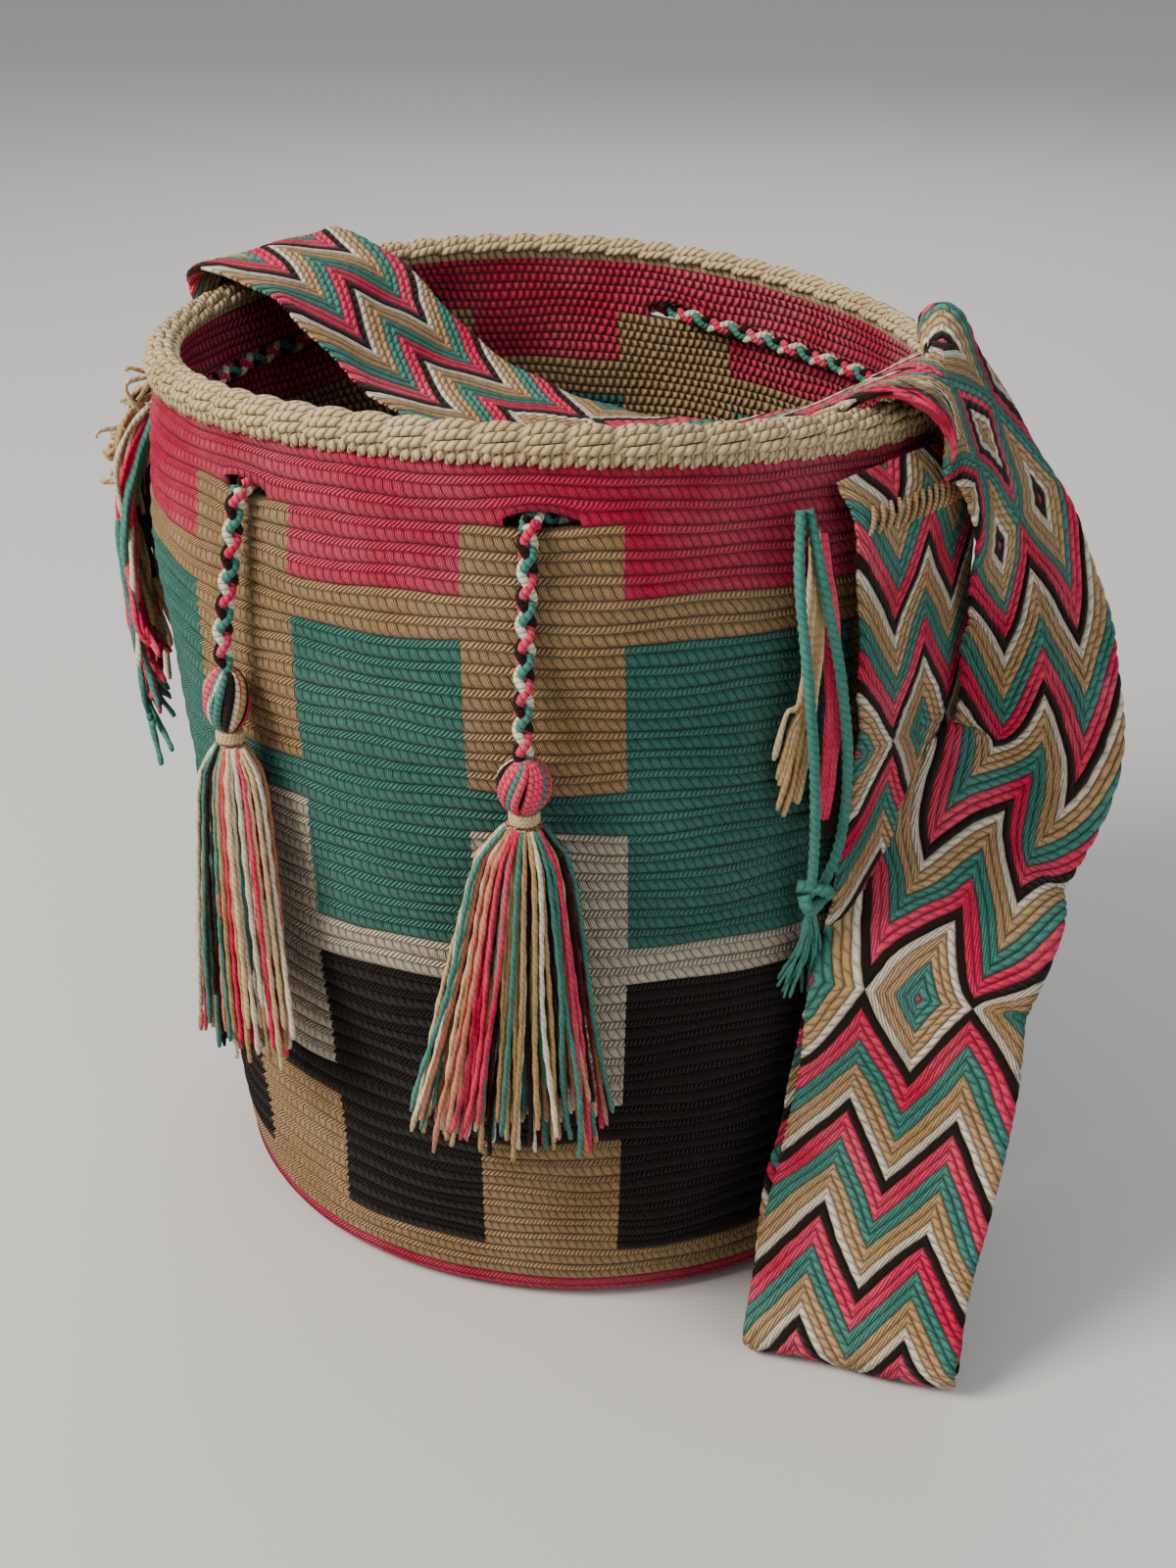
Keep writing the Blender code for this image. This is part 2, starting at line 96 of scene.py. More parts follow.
STRAP_WIDTH = 0.067
STRAP_LENGTH = 0.983
ROPE = 0.0045                   # length of strap that one rope of the weave takes
ROPES_RISE = 5.333              # ropes that a zigzag climbs between its low and high points
DIAMOND_AT = 0.556              # place along the strap of the middle of the large diamond
ZIGZAG_ROPES = 27               # ropes between the large diamond and the pair of small ones
REPEAT_HALF = ZIGZAG_ROPES + 2 * ROPES_RISE
# The pattern's own measure along the strap runs a little faster or slower than the strap.
STRAP_KNOTS = (0.0, 0.357, 0.389, 0.556, 0.983)
PATTERN_KNOTS = (0.0295, 0.3865, 0.4105, 0.556, 0.983)

CORD_EXIT = {"front": -2.6, "left": -43.0}
TASSELS = {
    "front": {"drop": 0.0660, "reach": 0.0122, "lean": -0.0012, "head": (0.0075, 0.0155),
              "neck": 0.0047, "skirt": (0.0085, 0.0285, 0.1100), "swing": -0.0050,
              "stand_off": 0.0035, "strands": 165},
    "left": {"drop": 0.0540, "reach": 0.0100, "lean": -0.0006, "head": (0.0068, 0.0190),
             "neck": 0.0044, "skirt": (0.0072, 0.0180, 0.1050), "swing": 0.0036,
             "stand_off": 0.0060, "strands": 125},
}
TASSEL_DEPTH = 0.42
GOLDEN_TURN = 2.39996           # spreads the strands evenly over the binding
BINDING_HEIGHT = 0.0042
CORD_RADIUS = 0.0025
TIED_END = 0.048                # length of a cord's tied end that lies in the skirt
WELD = 2e-6                     # points closer than this are one point
UP = np.array((0.0, 0.0, 1.0))


# ---------------------------------------------------------------- settings

def colour_property(name, description, value):
    return bpy.props.FloatVectorProperty(name=name, description=description, subtype="COLOR",
                                         size=3, min=0.0, max=1.0, default=value)


class MochilaYarns(bpy.types.PropertyGroup):
    """Colours of the six yarns."""
    tan: colour_property("Tan", "Stems and bands of the wall", (0.42, 0.255, 0.115))
    edging: colour_property("Edging tan", "Scalloped edging of the rim", (0.55, 0.40, 0.215))
    raspberry: colour_property("Raspberry", "Top, base border and strap", (0.61, 0.034, 0.083))
    green: colour_property("Green", "Upper blocks and strap", (0.052, 0.190, 0.145))
    cream: colour_property("Cream", "Middle band, stems and strap", (0.62, 0.53, 0.39))
    brown: colour_property("Dark brown", "Lower blocks and strap", (0.013, 0.0058, 0.0032))


class MochilaSizes(bpy.types.PropertyGroup):
    """Sizes that change the looks without changing the bag's shape."""
    relief: bpy.props.FloatProperty(
        name="Stitch relief", description="Height of a crochet row above its groove",
        default=0.0015, min=0.0, max=0.002, unit="LENGTH")
    rope_relief: bpy.props.FloatProperty(
        name="Strap relief", description="Height of a rope of the strap above its groove",
        default=0.0008, min=0.0, max=0.0015, unit="LENGTH")
    columns: bpy.props.IntProperty(
        name="Wall columns", description="Mesh columns round the wall", default=336, min=56)
    strand_radius: bpy.props.FloatProperty(
        name="Strand radius", description="Radius of one strand of a tassel",
        default=0.00080, min=0.0003, max=0.002, unit="LENGTH")
    scallops: bpy.props.IntProperty(
        name="Scallops", description="Lumps of the edging round the rim", default=62, min=8)


def yarn(name):
    return tuple(getattr(bpy.context.scene.mochila_yarns, name))


# ---------------------------------------------------------------- curves and the bag's outline

def outline(values, v):
    """The smooth curve through the outline's values, at one height or an array of heights."""
    v = np.clip(np.asarray(v, float), 0.0, 1.0)
    levels = np.array(LEVELS)
    values = np.array(values)
    last = len(levels) - 1
    after = np.minimum(np.arange(last + 1) + 1, last)
    before = np.maximum(np.arange(last + 1) - 1, 0)
    slopes = (values[after] - values[before]) / (levels[after] - levels[before])
    i = np.clip(np.searchsorted(levels, v, side="right") - 1, 0, last - 1)
    span = levels[i + 1] - levels[i]
    t = (v - levels[i]) / span
    return ((2 * t ** 3 - 3 * t * t + 1) * values[i] + (t ** 3 - 2 * t * t + t) * span * slopes[i]
            + (3 * t * t - 2 * t ** 3) * values[i + 1] + (t ** 3 - t * t) * span * slopes[i + 1])


def outward(degrees, v=0.5):
    """The wall's horizontal outward directions, as an array of vectors."""
    turn = np.radians(degrees)
    x = np.sin(turn) / outline(HALF_WIDTH, v)
    y = -np.cos(turn) / outline(HALF_DEPTH, v)
    size = np.hypot(x, y)
    return np.stack(np.broadcast_arrays(x / size, y / size, 0.0 * size), -1)


def sideways(degrees, v=0.5):
    out = outward(degrees, v)
    return np.stack((-out[..., 1], out[..., 0], 0.0 * out[..., 0]), -1)


def wall(degrees, v, off=0.0, up=0.0):
    """Points on the wall's outer face, moved out by off and up by up."""
    turn = np.radians(degrees)
    v = np.asarray(v, float)
    wave = RIM_TILT * np.sin(turn) + RIM_WAVE * np.cos(2 * turn)
    place = np.stack(np.broadcast_arrays(
        outline(CENTRE_X, v) + outline(HALF_WIDTH, v) * np.sin(turn),
        outline(CENTRE_Y, v) - outline(HALF_DEPTH, v) * np.cos(turn),
        RIM_HEIGHT * v + wave * v * v + up), -1)
    return place + outward(degrees, v) * np.asarray(off)[..., None]


def smooth_line(points, step):
    """A smooth curve through the points, with its own points about one step apart."""
    rows = np.array(points, float)
    rows = np.vstack([2 * rows[0] - rows[1], rows, 2 * rows[-1] - rows[-2]])
    found = []
    for i in range(1, len(rows) - 2):
        a, b, c, d = rows[i - 1:i + 3]
        for t in np.arange(12) / 12:
            found.append(0.5 * (2 * b + (c - a) * t + (2 * a - 5 * b + 4 * c - d) * t * t
                                + (3 * b - a - 3 * c + d) * t ** 3))
    found.append(rows[-2])
    return even_line(np.array(found), step)


def run_along(line):
    """How far each of the line's points is from its start, measured along it."""
    steps = np.linalg.norm(np.diff(line[:, :3], axis=0), axis=1)
    return np.concatenate([[0.0], np.cumsum(steps)])


def even_line(line, step):
    run = run_along(line)
    count = max(2, round(run[-1] / step))
    goals = np.linspace(0.0, run[-1], count + 1)
    return np.stack([np.interp(goals, run, line[:, k]) for k in range(line.shape[1])], -1)


def line_length(line):
    return float(np.linalg.norm(np.diff(line, axis=0), axis=1).sum())


def sides_of(line):
    """Two directions square to the line at each of its points, without any twist."""
    run = np.gradient(line, axis=0)
    run /= np.linalg.norm(run, axis=1)[:, None]
    first = np.cross(run[0], (0.31, 0.89, 0.33))
    first /= np.linalg.norm(first)
    found = [first]
    for along in run[1:]:
        side = found[-1] - along * found[-1].dot(along)
        found.append(side / np.linalg.norm(side))
    side = np.array(found)
    return side, np.cross(run, side)


# ---------------------------------------------------------------- meshes

def grids_to_mesh(name, parts):
    """One mesh of grids. A part holds co (rows, columns, 3), and may hold uv (rows, columns, 2)
    and tint: one colour, or one a face. Grids that close on themselves are welded."""
    bm = bmesh.new()
    for part in parts:
        rows, columns = part["co"].shape[:2]
        bmesh.ops.create_grid(bm, x_segments=columns - 1, y_segments=rows - 1, size=0.5)
    mesh = bpy.data.meshes.new(name)
    bm.to_mesh(mesh)
    bm.free()
    co = np.concatenate([part["co"].reshape(-1, 3) for part in parts])
    mesh.vertices.foreach_set("co", co.ravel())
    loops = np.zeros(len(mesh.loops), np.int32)
    mesh.loops.foreach_get("vertex_index", loops)
    uv = np.concatenate([part.get("uv", np.zeros(part["co"].shape[:2] + (2,))).reshape(-1, 2)
                         for part in parts])
    layer = mesh.uv_layers.new(name="UVMap")
    layer.data.foreach_set("uv", uv[loops].ravel())
    tints = []
    for part in parts:
        rows, columns = part["co"].shape[:2]
        tint = np.broadcast_to(np.asarray(part.get("tint", (0.5, 0.5, 0.5))),
                               (rows - 1, columns - 1, 3))
        tints.append(np.repeat(tint.reshape(-1, 3), 4, axis=0))
    tints = np.concatenate(tints)
    attribute = mesh.color_attributes.new("yarn", "FLOAT_COLOR", "CORNER")
    attribute.data.foreach_set("color", np.hstack([tints, np.ones((len(tints), 1))]).ravel())
    bm = bmesh.new()
    bm.from_mesh(mesh)
    bmesh.ops.remove_doubles(bm, verts=bm.verts, dist=WELD)
    bmesh.ops.dissolve_degenerate(bm, edges=bm.edges, dist=1e-7)
    bmesh.ops.recalc_face_normals(bm, faces=bm.faces)
    for face in bm.faces:
        face.smooth = True
    bm.to_mesh(mesh)
    bm.free()
    return mesh


def add_piece(name, mesh, finish, slot, body, *nodes):
    """Puts a finished mesh in the scene, on its body and in place of its CAD nodes."""
    made = bpy.data.objects.new(name, mesh)
    bpy.context.scene.collection.objects.link(made)
    mesh.materials.append(finish)
    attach(made, body)
    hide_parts(*nodes)
    return made


def strand(line, radius, tint, sides=6, lobes=0.0, pitch=0.003, ends=(1.0, 1.0), phase=0.0,
           swell=None):
    """A closed tube along a line. Lobes makes its section a figure of two plies that turn once
    in a pitch; ends scales it at its tips."""
    first, second = sides_of(line)
    run = run_along(line)
    around = np.linspace(0.0, 2 * np.pi, sides + 1)
    spin = phase + 2 * np.pi * run / pitch
    size = np.full(len(line), radius)
    size[0] *= ends[0]
    size[-1] *= ends[1]
    if swell is not None:
        size = size * swell
    bulge = 1.0 + lobes * np.cos(2 * (around[None, :] - spin[:, None]))
    reach = size[:, None] * bulge
    co = (line[:, None, :] + first[:, None, :] * (reach * np.cos(around))[..., None]
          + second[:, None, :] * (reach * np.sin(around))[..., None])
    tips = np.broadcast_to(line[[0, -1]][:, None, :], (2, sides + 1, 3))
    co = np.concatenate([tips[:1], co, tips[1:]])
    co[:, -1] = co[:, 0]
    uv = np.zeros(co.shape[:2] + (2,))
    uv[..., 0] = around / (2 * np.pi)
    uv[1:-1, :, 1] = run[:, None]
    uv[-1, :, 1] = run[-1]
    return {"co": co, "tint": tint, "uv": uv}


def braid(line, radius, tints, pitch=0.0150):
    """Four strands round a line, two each way, each over and under the others by turns."""
    line = even_line(line, pitch / 18)
    first, second = sides_of(line)
    run = run_along(line)
    turn = 2 * np.pi * run / pitch
    parts = []
    for k, tint in enumerate(tints):
        way = 1 if k % 2 == 0 else -1
        angle = way * turn + k * np.pi / 2
        reach = radius * (0.62 + way * 0.14 * np.sin(2 * turn))
        path = (line + first * (reach * np.cos(angle))[:, None]
                + second * (reach * np.sin(angle))[:, None])
        parts.append(strand(path, radius * 0.54, tint, sides=7, ends=(0.8, 0.8)))
    return parts


# ---------------------------------------------------------------- shader helpers

class Wiring:
    """Adds nodes to a tree and joins them with short calls."""

    def __init__(self, tree):
        self.tree = tree

    def put(self, socket, value):
        if isinstance(value, bpy.types.NodeSocket):
            self.tree.links.new(value, socket)
        elif isinstance(value, (tuple, list)) and len(value) == 3 and socket.type == "RGBA":
            socket.default_value = (*value, 1.0)
        else:
            socket.default_value = value

    def node(self, kind, **settings):
        made = self.tree.nodes.new(kind)
        for key, value in settings.items():
            setattr(made, key, value)
        return made

    def math(self, operation, *values, clamp=False):
        made = self.node("ShaderNodeMath", operation=operation, use_clamp=clamp)
        for socket, value in zip(made.inputs, values):
            self.put(socket, value)
        return made.outputs[0]

    def add(self, a, b):
        return self.math("ADD", a, b)

    def sub(self, a, b):
        return self.math("SUBTRACT", a, b)

    def mul(self, a, b):
        return self.math("MULTIPLY", a, b)

    def ripple(self, phase):
        """A row of rounded humps, one for each whole number of the phase."""
        return self.math("ABSOLUTE", self.math("SINE", self.mul(phase, math.pi)))

    def dome(self, share):
        """A round hump over 0 to 1."""
        inside = self.math("MULTIPLY", share, self.sub(1.0, share))
        return self.math("SQRT", self.math("MAXIMUM", self.mul(inside, 4.0), 0.0))

    def between(self, value, low, high, to_low=0.0, to_high=1.0):
        made = self.node("ShaderNodeMapRange", clamp=True)
        for socket, number in zip(made.inputs, (value, low, high, to_low, to_high)):
            self.put(socket, number)
        return made.outputs[0]

    def blend(self, share, a, b):
        made = self.node("ShaderNodeMix", data_type="FLOAT")
        for socket, value in zip(made.inputs[:1] + made.inputs[2:4], (share, a, b)):
            self.put(socket, value)
        return made.outputs[0]

    def tinted(self, kind, share, a, b):
        made = self.node("ShaderNodeMix", data_type="RGBA", blend_type=kind)
        for socket, value in zip((made.inputs[0], made.inputs[6], made.inputs[7]), (share, a, b)):
            self.put(socket, value)
        return made.outputs[2]

    def noise(self, vector, scale, detail=2.0, colour=False):
        made = self.node("ShaderNodeTexNoise")
        self.put(made.inputs["Vector"], vector)
        self.put(made.inputs["Scale"], scale)
        made.inputs["Detail"].default_value = detail
        return made.outputs["Color" if colour else "Fac"]


def new_group(name, inputs, outputs):
    """A shader node group: its tree's wiring, the input node and the output node."""
    tree = bpy.data.node_groups.new(name, "ShaderNodeTree")
    for kind, names in (("INPUT", inputs), ("OUTPUT", outputs)):
        for label, socket in names:
            tree.interface.new_socket(name=label, in_out=kind, socket_type="NodeSocket" + socket)
    wires = Wiring(tree)
    return tree, wires, wires.node("NodeGroupInput"), wires.node("NodeGroupOutput")


def fibre_group():
    """Spun yarn: fine fibres and slow changes of tone on a colour, with their height."""
    found = bpy.data.node_groups.get("yarn fibres")
    if found:
        return found
    tree, w, given, out = new_group(
        "yarn fibres", [("Colour", "Color"), ("Place", "Vector"), ("Fineness", "Float")],
        [("Colour", "Color"), ("Height", "Float")])
    fine = w.noise(given.outputs["Place"], given.outputs["Fineness"], 3.0)
    broad = w.noise(given.outputs["Place"], 34.0, 2.0)
    speck = w.noise(given.outputs["Place"], 420.0, 1.0)
    tone = w.add(w.between(fine, 0.3, 0.7, 0.80, 1.16),
                 w.between(broad, 0.3, 0.7, -0.10, 0.10))
    tone = w.add(tone, w.between(speck, 0.35, 0.65, -0.07, 0.07))
    lit = w.node("ShaderNodeHueSaturation")
    w.put(lit.inputs["Value"], tone)
    w.put(lit.inputs["Saturation"], w.between(broad, 0.3, 0.7, 1.06, 0.94))
    w.put(lit.inputs["Color"], given.outputs["Colour"])
    w.put(out.inputs["Colour"], lit.outputs[0])
    w.put(out.inputs["Height"], fine)
    return tree


def crochet_group():
    """Tapestry crochet: on the outer face a thin twisted ridge over a band of slanted
    stitches in each row; on the inner face two tiers of small bumps."""
    tree, w, given, out = new_group(
        "crochet stitches", [("Stitch", "Float"), ("Row", "Float"), ("Inside", "Float"),
                             ("Place", "Vector")],
        [("Height", "Float"), ("Shade", "Float")])
    waver = w.noise(given.outputs["Place"], 95.0, 1.0, colour=True)
    parts = w.node("ShaderNodeSeparateColor")
    w.put(parts.inputs[0], waver)
    u = w.add(given.outputs["Stitch"], w.mul(w.sub(parts.outputs[0], 0.5), 0.9))
    v = w.add(given.outputs["Row"], w.mul(w.sub(parts.outputs[1], 0.5), 0.10))
    f = w.math("FRACT", v)
    band_share = w.math("DIVIDE", f, 0.66, clamp=True)
    ridge_share = w.math("DIVIDE", w.sub(f, 0.66), 0.34, clamp=True)
    band_phase = w.add(u, w.mul(f, 1.25))
    stitch = w.math("POWER", w.ripple(band_phase), 0.7)
    plies = w.ripple(w.mul(band_phase, 4.0))
    band = w.mul(w.dome(band_share), w.add(w.mul(stitch, 0.60), w.add(w.mul(plies, 0.24), 0.10)))
    twist = w.math("POWER", w.ripple(w.sub(w.mul(u, 2.0), w.mul(f, 4.4))), 0.7)
    ridge = w.mul(w.dome(ridge_share), w.add(w.mul(twist, 0.90), 0.30))
    outer = w.math("MAXIMUM", band, ridge)
    tier = w.math("FLOOR", w.mul(f, 2.0))
    bumps = w.mul(w.ripple(w.add(u, w.mul(tier, 0.5))),
                  w.dome(w.math("FRACT", w.mul(f, 2.0))))
    inner = w.mul(bumps, w.blend(tier, 1.0, 0.75))
    height = w.blend(given.outputs["Inside"], outer, inner)
    w.put(out.inputs["Height"], height)
    # Shade is painted shade in the grooves between rows and stitches, and painted light on their
    # raised tops; finish_with multiplies it into the colour.
    w.put(out.inputs["Shade"], w.between(height, 0.0, 0.80, 0.26, 1.24))
    return tree


def weave_group():
    """The strap's oblique weave: zigzag ropes between rows of diamonds, with the twist of
    their plies."""
    tree, w, given, out = new_group(
        "strap weave", [("Across", "Float"), ("Along", "Float"), ("Place", "Vector"),
                        ("Tan", "Color"), ("Raspberry", "Color"), ("Green", "Color"),
                        ("Cream", "Color"), ("Brown", "Color")],
        [("Colour", "Color"), ("Height", "Float"), ("Shade", "Float")])
    waver = w.noise(given.outputs["Place"], 110.0, 1.0, colour=True)
    parts = w.node("ShaderNodeSeparateColor")
    w.put(parts.inputs[0], waver)
    across = w.add(given.outputs["Across"], w.mul(w.sub(parts.outputs[0], 0.5), 0.016))
    along = w.add(given.outputs["Along"], w.mul(w.sub(parts.outputs[1], 0.5), 0.0012))
    side = w.math("ABSOLUTE", across)
    peak = w.math("ABSOLUTE", w.sub(1.0, w.mul(side, 4.0)))
    x = w.math("PINGPONG", w.mul(w.sub(along, DIAMOND_AT), 1.0 / ROPE), REPEAT_HALF)
    k1 = w.sub(x, w.mul(peak, ROPES_RISE))
    k2 = w.sub(w.sub(x, ZIGZAG_ROPES + ROPES_RISE), w.mul(w.sub(1.0, peak), ROPES_RISE))
    in_pair = w.math("GREATER_THAN", k1, float(ZIGZAG_ROPES))
    in_leaf = w.math("GREATER_THAN", k2, 0.0)
    in_large = w.math("LESS_THAN", k1, 0.0)
    large = w.mul(k1, -1.0)
    pair = w.math("MINIMUM", w.sub(k1, float(ZIGZAG_ROPES)), w.mul(k2, -1.0))
    depth = w.blend(in_pair, k1, pair)
    depth = w.blend(in_leaf, depth, k2)
    depth = w.blend(in_large, depth, large)
    names = {"T": "Tan", "R": "Raspberry", "G": "Green", "W": "Cream", "B": "Brown"}
    looks = []
    for pattern, value in (("BRRGGTTW", w.mul(w.math("WRAP", k1, 8.0, 0.0), 0.125)),
                           ("WTTGGR", w.mul(large, 1.0 / 6)), ("GTTWBR", w.mul(pair, 1.0 / 6)),
                           ("GRBWTT", w.mul(k2, 1.0 / 6))):
        slots = len(pattern)
        colour = given.outputs[names[pattern[0]]]
        for place in range(1, slots):
            if pattern[place] != pattern[place - 1]:
                past = w.math("GREATER_THAN", value, place / slots)
                colour = w.tinted("MIX", past, colour, given.outputs[names[pattern[place]]])
        looks.append(colour)
    zigzag, large_look, pair_look, leaf_look = looks
    colour = w.tinted("MIX", in_pair, zigzag, pair_look)
    colour = w.tinted("MIX", in_leaf, colour, leaf_look)
    colour = w.tinted("MIX", in_large, colour, large_look)
    q = w.math("FRACT", depth)
    plies = w.ripple(w.add(w.mul(across, 31.0), w.mul(q, 1.6)))
    rope = w.dome(q)
    height = w.mul(rope, w.add(w.mul(w.math("POWER", plies, 0.6), 0.62), 0.38))
    w.put(out.inputs["Colour"], colour)
    w.put(out.inputs["Height"], height)
    # Shade is painted shade in the grooves between ropes and plies, and painted light on the ropes'
    # tops; finish_with multiplies it into the colour.
    w.put(out.inputs["Shade"], w.between(height, 0.0, 0.85, 0.36, 1.14))
    return tree


def yarn_material(name):
    """A material with a matt yarn shader: it, its wiring, the shader, and the sockets of the
    object's own coordinates and of its UV map's values."""
    made = bpy.data.materials.new(name)
    made.use_nodes = True
    shader = made.node_tree.nodes["Principled BSDF"]
    shader.inputs["Roughness"].default_value = 0.90
    shader.inputs["Specular IOR Level"].default_value = 0.16
    shader.inputs["Sheen Weight"].default_value = 0.06
    shader.inputs["Sheen Roughness"].default_value = 0.45
    w = Wiring(made.node_tree)
    place = w.node("ShaderNodeTexCoord").outputs["Object"]
    uv = w.node("ShaderNodeSeparateXYZ")
    w.put(uv.inputs[0], w.node("ShaderNodeUVMap", uv_map="UVMap").outputs[0])
    return made, w, shader, place, uv.outputs


def use_group(w, tree, **values):
    made = w.node("ShaderNodeGroup")
    made.node_tree = tree
    for key, value in values.items():
        w.put(made.inputs[key], value)
    return made


def finish_with(w, shader, colour, shade, height, depth):
    """Joins colour times shade, and a bump of the given depth, to the shader."""
    # The colour is multiplied by the shade: painted shade where it is below 1, in grooves, and
    # painted light where it is above 1, on tops.
    dark = w.node("ShaderNodeCombineColor")
    for socket in dark.inputs[:3]:
        w.put(socket, shade)
    colour = w.tinted("MULTIPLY", 1.0, colour, dark.outputs[0])
    w.put(shader.inputs["Base Color"], colour)
    bump = w.node("ShaderNodeBump")
    bump.inputs["Strength"].default_value = 1.0
    bump.inputs["Distance"].default_value = depth
    w.put(bump.inputs["Height"], height)
    w.put(shader.inputs["Normal"], bump.outputs[0])


def crochet_material():
    made, w, shader, place, uv = yarn_material("wall_crochet")
    tint = w.node("ShaderNodeAttribute", attribute_name="yarn").outputs["Color"]
    stitch = w.mul(uv[0], float(STITCHES))
    row = w.sub(w.mul(uv[1], UV_ROWS), ROW_START)
    inside = w.math("GREATER_THAN", uv[1], 0.5)
    fibres = use_group(w, fibre_group(), Colour=tint, Place=place, Fineness=1500.0)
    stitches = use_group(w, crochet_group(), Stitch=stitch, Row=row, Inside=inside, Place=place)
    height = w.add(stitches.outputs["Height"], w.mul(fibres.outputs["Height"], 0.16))
    finish_with(w, shader, fibres.outputs["Colour"], stitches.outputs["Shade"], height, 0.0030)
    return made


def weave_material():
    made, w, shader, place, uv = yarn_material("strap_weave")
    weave = use_group(w, weave_group(), Across=w.sub(uv[0], 0.5), Along=uv[1],
                      Place=place, Tan=yarn("tan"), Raspberry=yarn("raspberry"),
                      Green=yarn("green"), Cream=yarn("cream"), Brown=yarn("brown"))
    fibres = use_group(w, fibre_group(), Colour=weave.outputs["Colour"], Place=place,
                       Fineness=1300.0)
    height = w.add(weave.outputs["Height"], w.mul(fibres.outputs["Height"], 0.16))
    finish_with(w, shader, fibres.outputs["Colour"], weave.outputs["Shade"], height, 0.0015)
    return made


def strand_material(name, pitch, lean, depth=0.0004, low=0.55):
    """Plied yarn on tubes: its plies wind round each tube, and its colour is the strand's."""
    made, w, shader, place, uv = yarn_material(name)
    tint = w.node("ShaderNodeAttribute", attribute_name="yarn").outputs["Color"]
    fibres = use_group(w, fibre_group(), Colour=tint, Place=place, Fineness=1500.0)
    plies = w.ripple(w.add(w.mul(uv[0], lean), w.mul(uv[1], 1.0 / pitch)))
    height = w.add(w.math("POWER", plies, 0.6), w.mul(fibres.outputs["Height"], 0.35))
    # Painted shade between the plies, going down to low at the bottom of a groove, and a little
    # painted light on their tops, multiplied into the colour.
    finish_with(w, shader, fibres.outputs["Colour"], w.between(plies, 0.0, 0.7, low, 1.08),
                height, depth)
    return made


# ---------------------------------------------------------------- stage

class MOCHILA_OT_stage(bpy.types.Operator):
    """Add the pale floor, the soft lights and the camera"""
    bl_idname = "mochila.stage"
    bl_label = "Stage"

    def execute(self, context):
        scene = context.scene
        link = scene.collection.objects.link
        bm = bmesh.new()
        bmesh.ops.create_grid(bm, x_segments=1, y_segments=1, size=6.0)
        mesh = bpy.data.meshes.new("floor")
        bm.to_mesh(mesh)
        bm.free()
        floor = bpy.data.objects.new("floor", mesh)
        link(floor)
        pale = bpy.data.materials.new("pale_floor")
        pale.use_nodes = True
        shader = pale.node_tree.nodes["Principled BSDF"]
        shader.inputs["Base Color"].default_value = (0.62, 0.60, 0.57, 1.0)
        shader.inputs["Roughness"].default_value = 0.9
        mesh.materials.append(pale)
        world = bpy.data.worlds.new("soft_room")
        world.use_nodes = True
        back = world.node_tree.nodes["Background"]
        back.inputs["Color"].default_value = (0.80, 0.86, 0.94, 1.0)
        back.inputs["Strength"].default_value = 0.50
        scene.world = world
        for name, place, size, power, tint in (
                ("key", (-1.25, -0.55, 1.35), 0.8, 46.0, (1.0, 0.95, 0.88)),
                ("fill", (1.1, -1.3, 1.0), 1.4, 8.0, (0.92, 0.96, 1.0)),
                ("back", (0.25, 1.5, 1.3), 1.2, 12.0, (1.0, 0.98, 0.95))):
            lamp = bpy.data.lights.new(name, "AREA")
            lamp.size = size
            lamp.energy = power
            lamp.color = tint
            light = bpy.data.objects.new(name, lamp)
            light.location = place
            light.rotation_euler = (Vector((0, 0, 0.12)) - light.location).to_track_quat(
                "-Z", "Y").to_euler()
            link(light)
        lens = bpy.data.cameras.new("camera")
        lens.sensor_fit = "VERTICAL"
        lens.sensor_height = 36.0
        lens.lens = 50.0
        camera = bpy.data.objects.new("camera", lens)
        camera.location = (0.0034, -0.695, 0.478)
        camera.rotation_euler = (math.radians(63.43), 0.0, 0.0)
        link(camera)
        scene.camera = camera
        return {"FINISHED"}


# ---------------------------------------------------------------- crocheted wall

def wall_tint(column_is_stem, row):
    """The yarn of each face of the wall: a rule of rows and of stems and blocks."""
    names = ("raspberry", "tan", "brown", "cream", "green")
    table = np.array([yarn(name) for name in names])
    stem = np.select(
        [row < 1.2, row < 3.2, row < 10.2, row < 12.2, row < 21.2, row < 27.2, row < 29.2,
         row < 41.2], [0, 1, 1, 2, 3, 3, 4, 1], 0)
    block = np.select([row < 1.2, row < 3.2, row < 19.2, row < 21.2, row < 36.2, row < 38.2],
                      [0, 1, 2, 3, 4, 1], 0)
    return table[np.where(column_is_stem[None, :], stem[:, None], block[:, None])]


def wall_columns(count):
    """Angles of the mesh columns at row 38, and for each column whether it is in a stem."""
    spans = np.diff(COLUMN_EDGES)
    shares = np.maximum(2, np.round(spans / spans.sum() * count)).astype(int)
    shares[-1] += count - shares.sum()
    angles = []
    stems = []
    for k, share in enumerate(shares):
        angles.extend(COLUMN_EDGES[k] + spans[k] * np.arange(share) / share)
        stems.extend([k % 2 == 0] * share)
    angles.append(COLUMN_EDGES[-1])
    return np.array(angles), np.array(stems)


def turn_between(angle, degrees):
    return (angle - degrees + 180.0) % 360.0 - 180.0


def eyelet_lift(angle, row):
    """How far the stitches round an eyelet move up or down, and in how wide an arch."""
    rise = np.zeros(np.broadcast(angle, row).shape)
    for degrees in EYELETS.values():
        apart = turn_between(angle, degrees)
        arch = np.clip(1.0 - (apart / 4.9) ** 2, 0.0, 1.0)
        wide = np.exp(-(apart / 6.5) ** 2)
        above = np.where(row > EYELET_ROW + 0.2,
                         0.0030 * np.exp(-np.maximum(row - EYELET_ROW - 0.5, 0) / 0.9), 0.0)
        below = np.where(row < EYELET_ROW + 0.2,
                         -0.0006 * np.exp(-np.maximum(EYELET_ROW - row, 0) / 0.8), 0.0)
        near = np.abs(row - EYELET_ROW - 0.2) < 0.5
        rise += (above + below) * np.where(near, arch, np.maximum(arch, wide))
    return rise


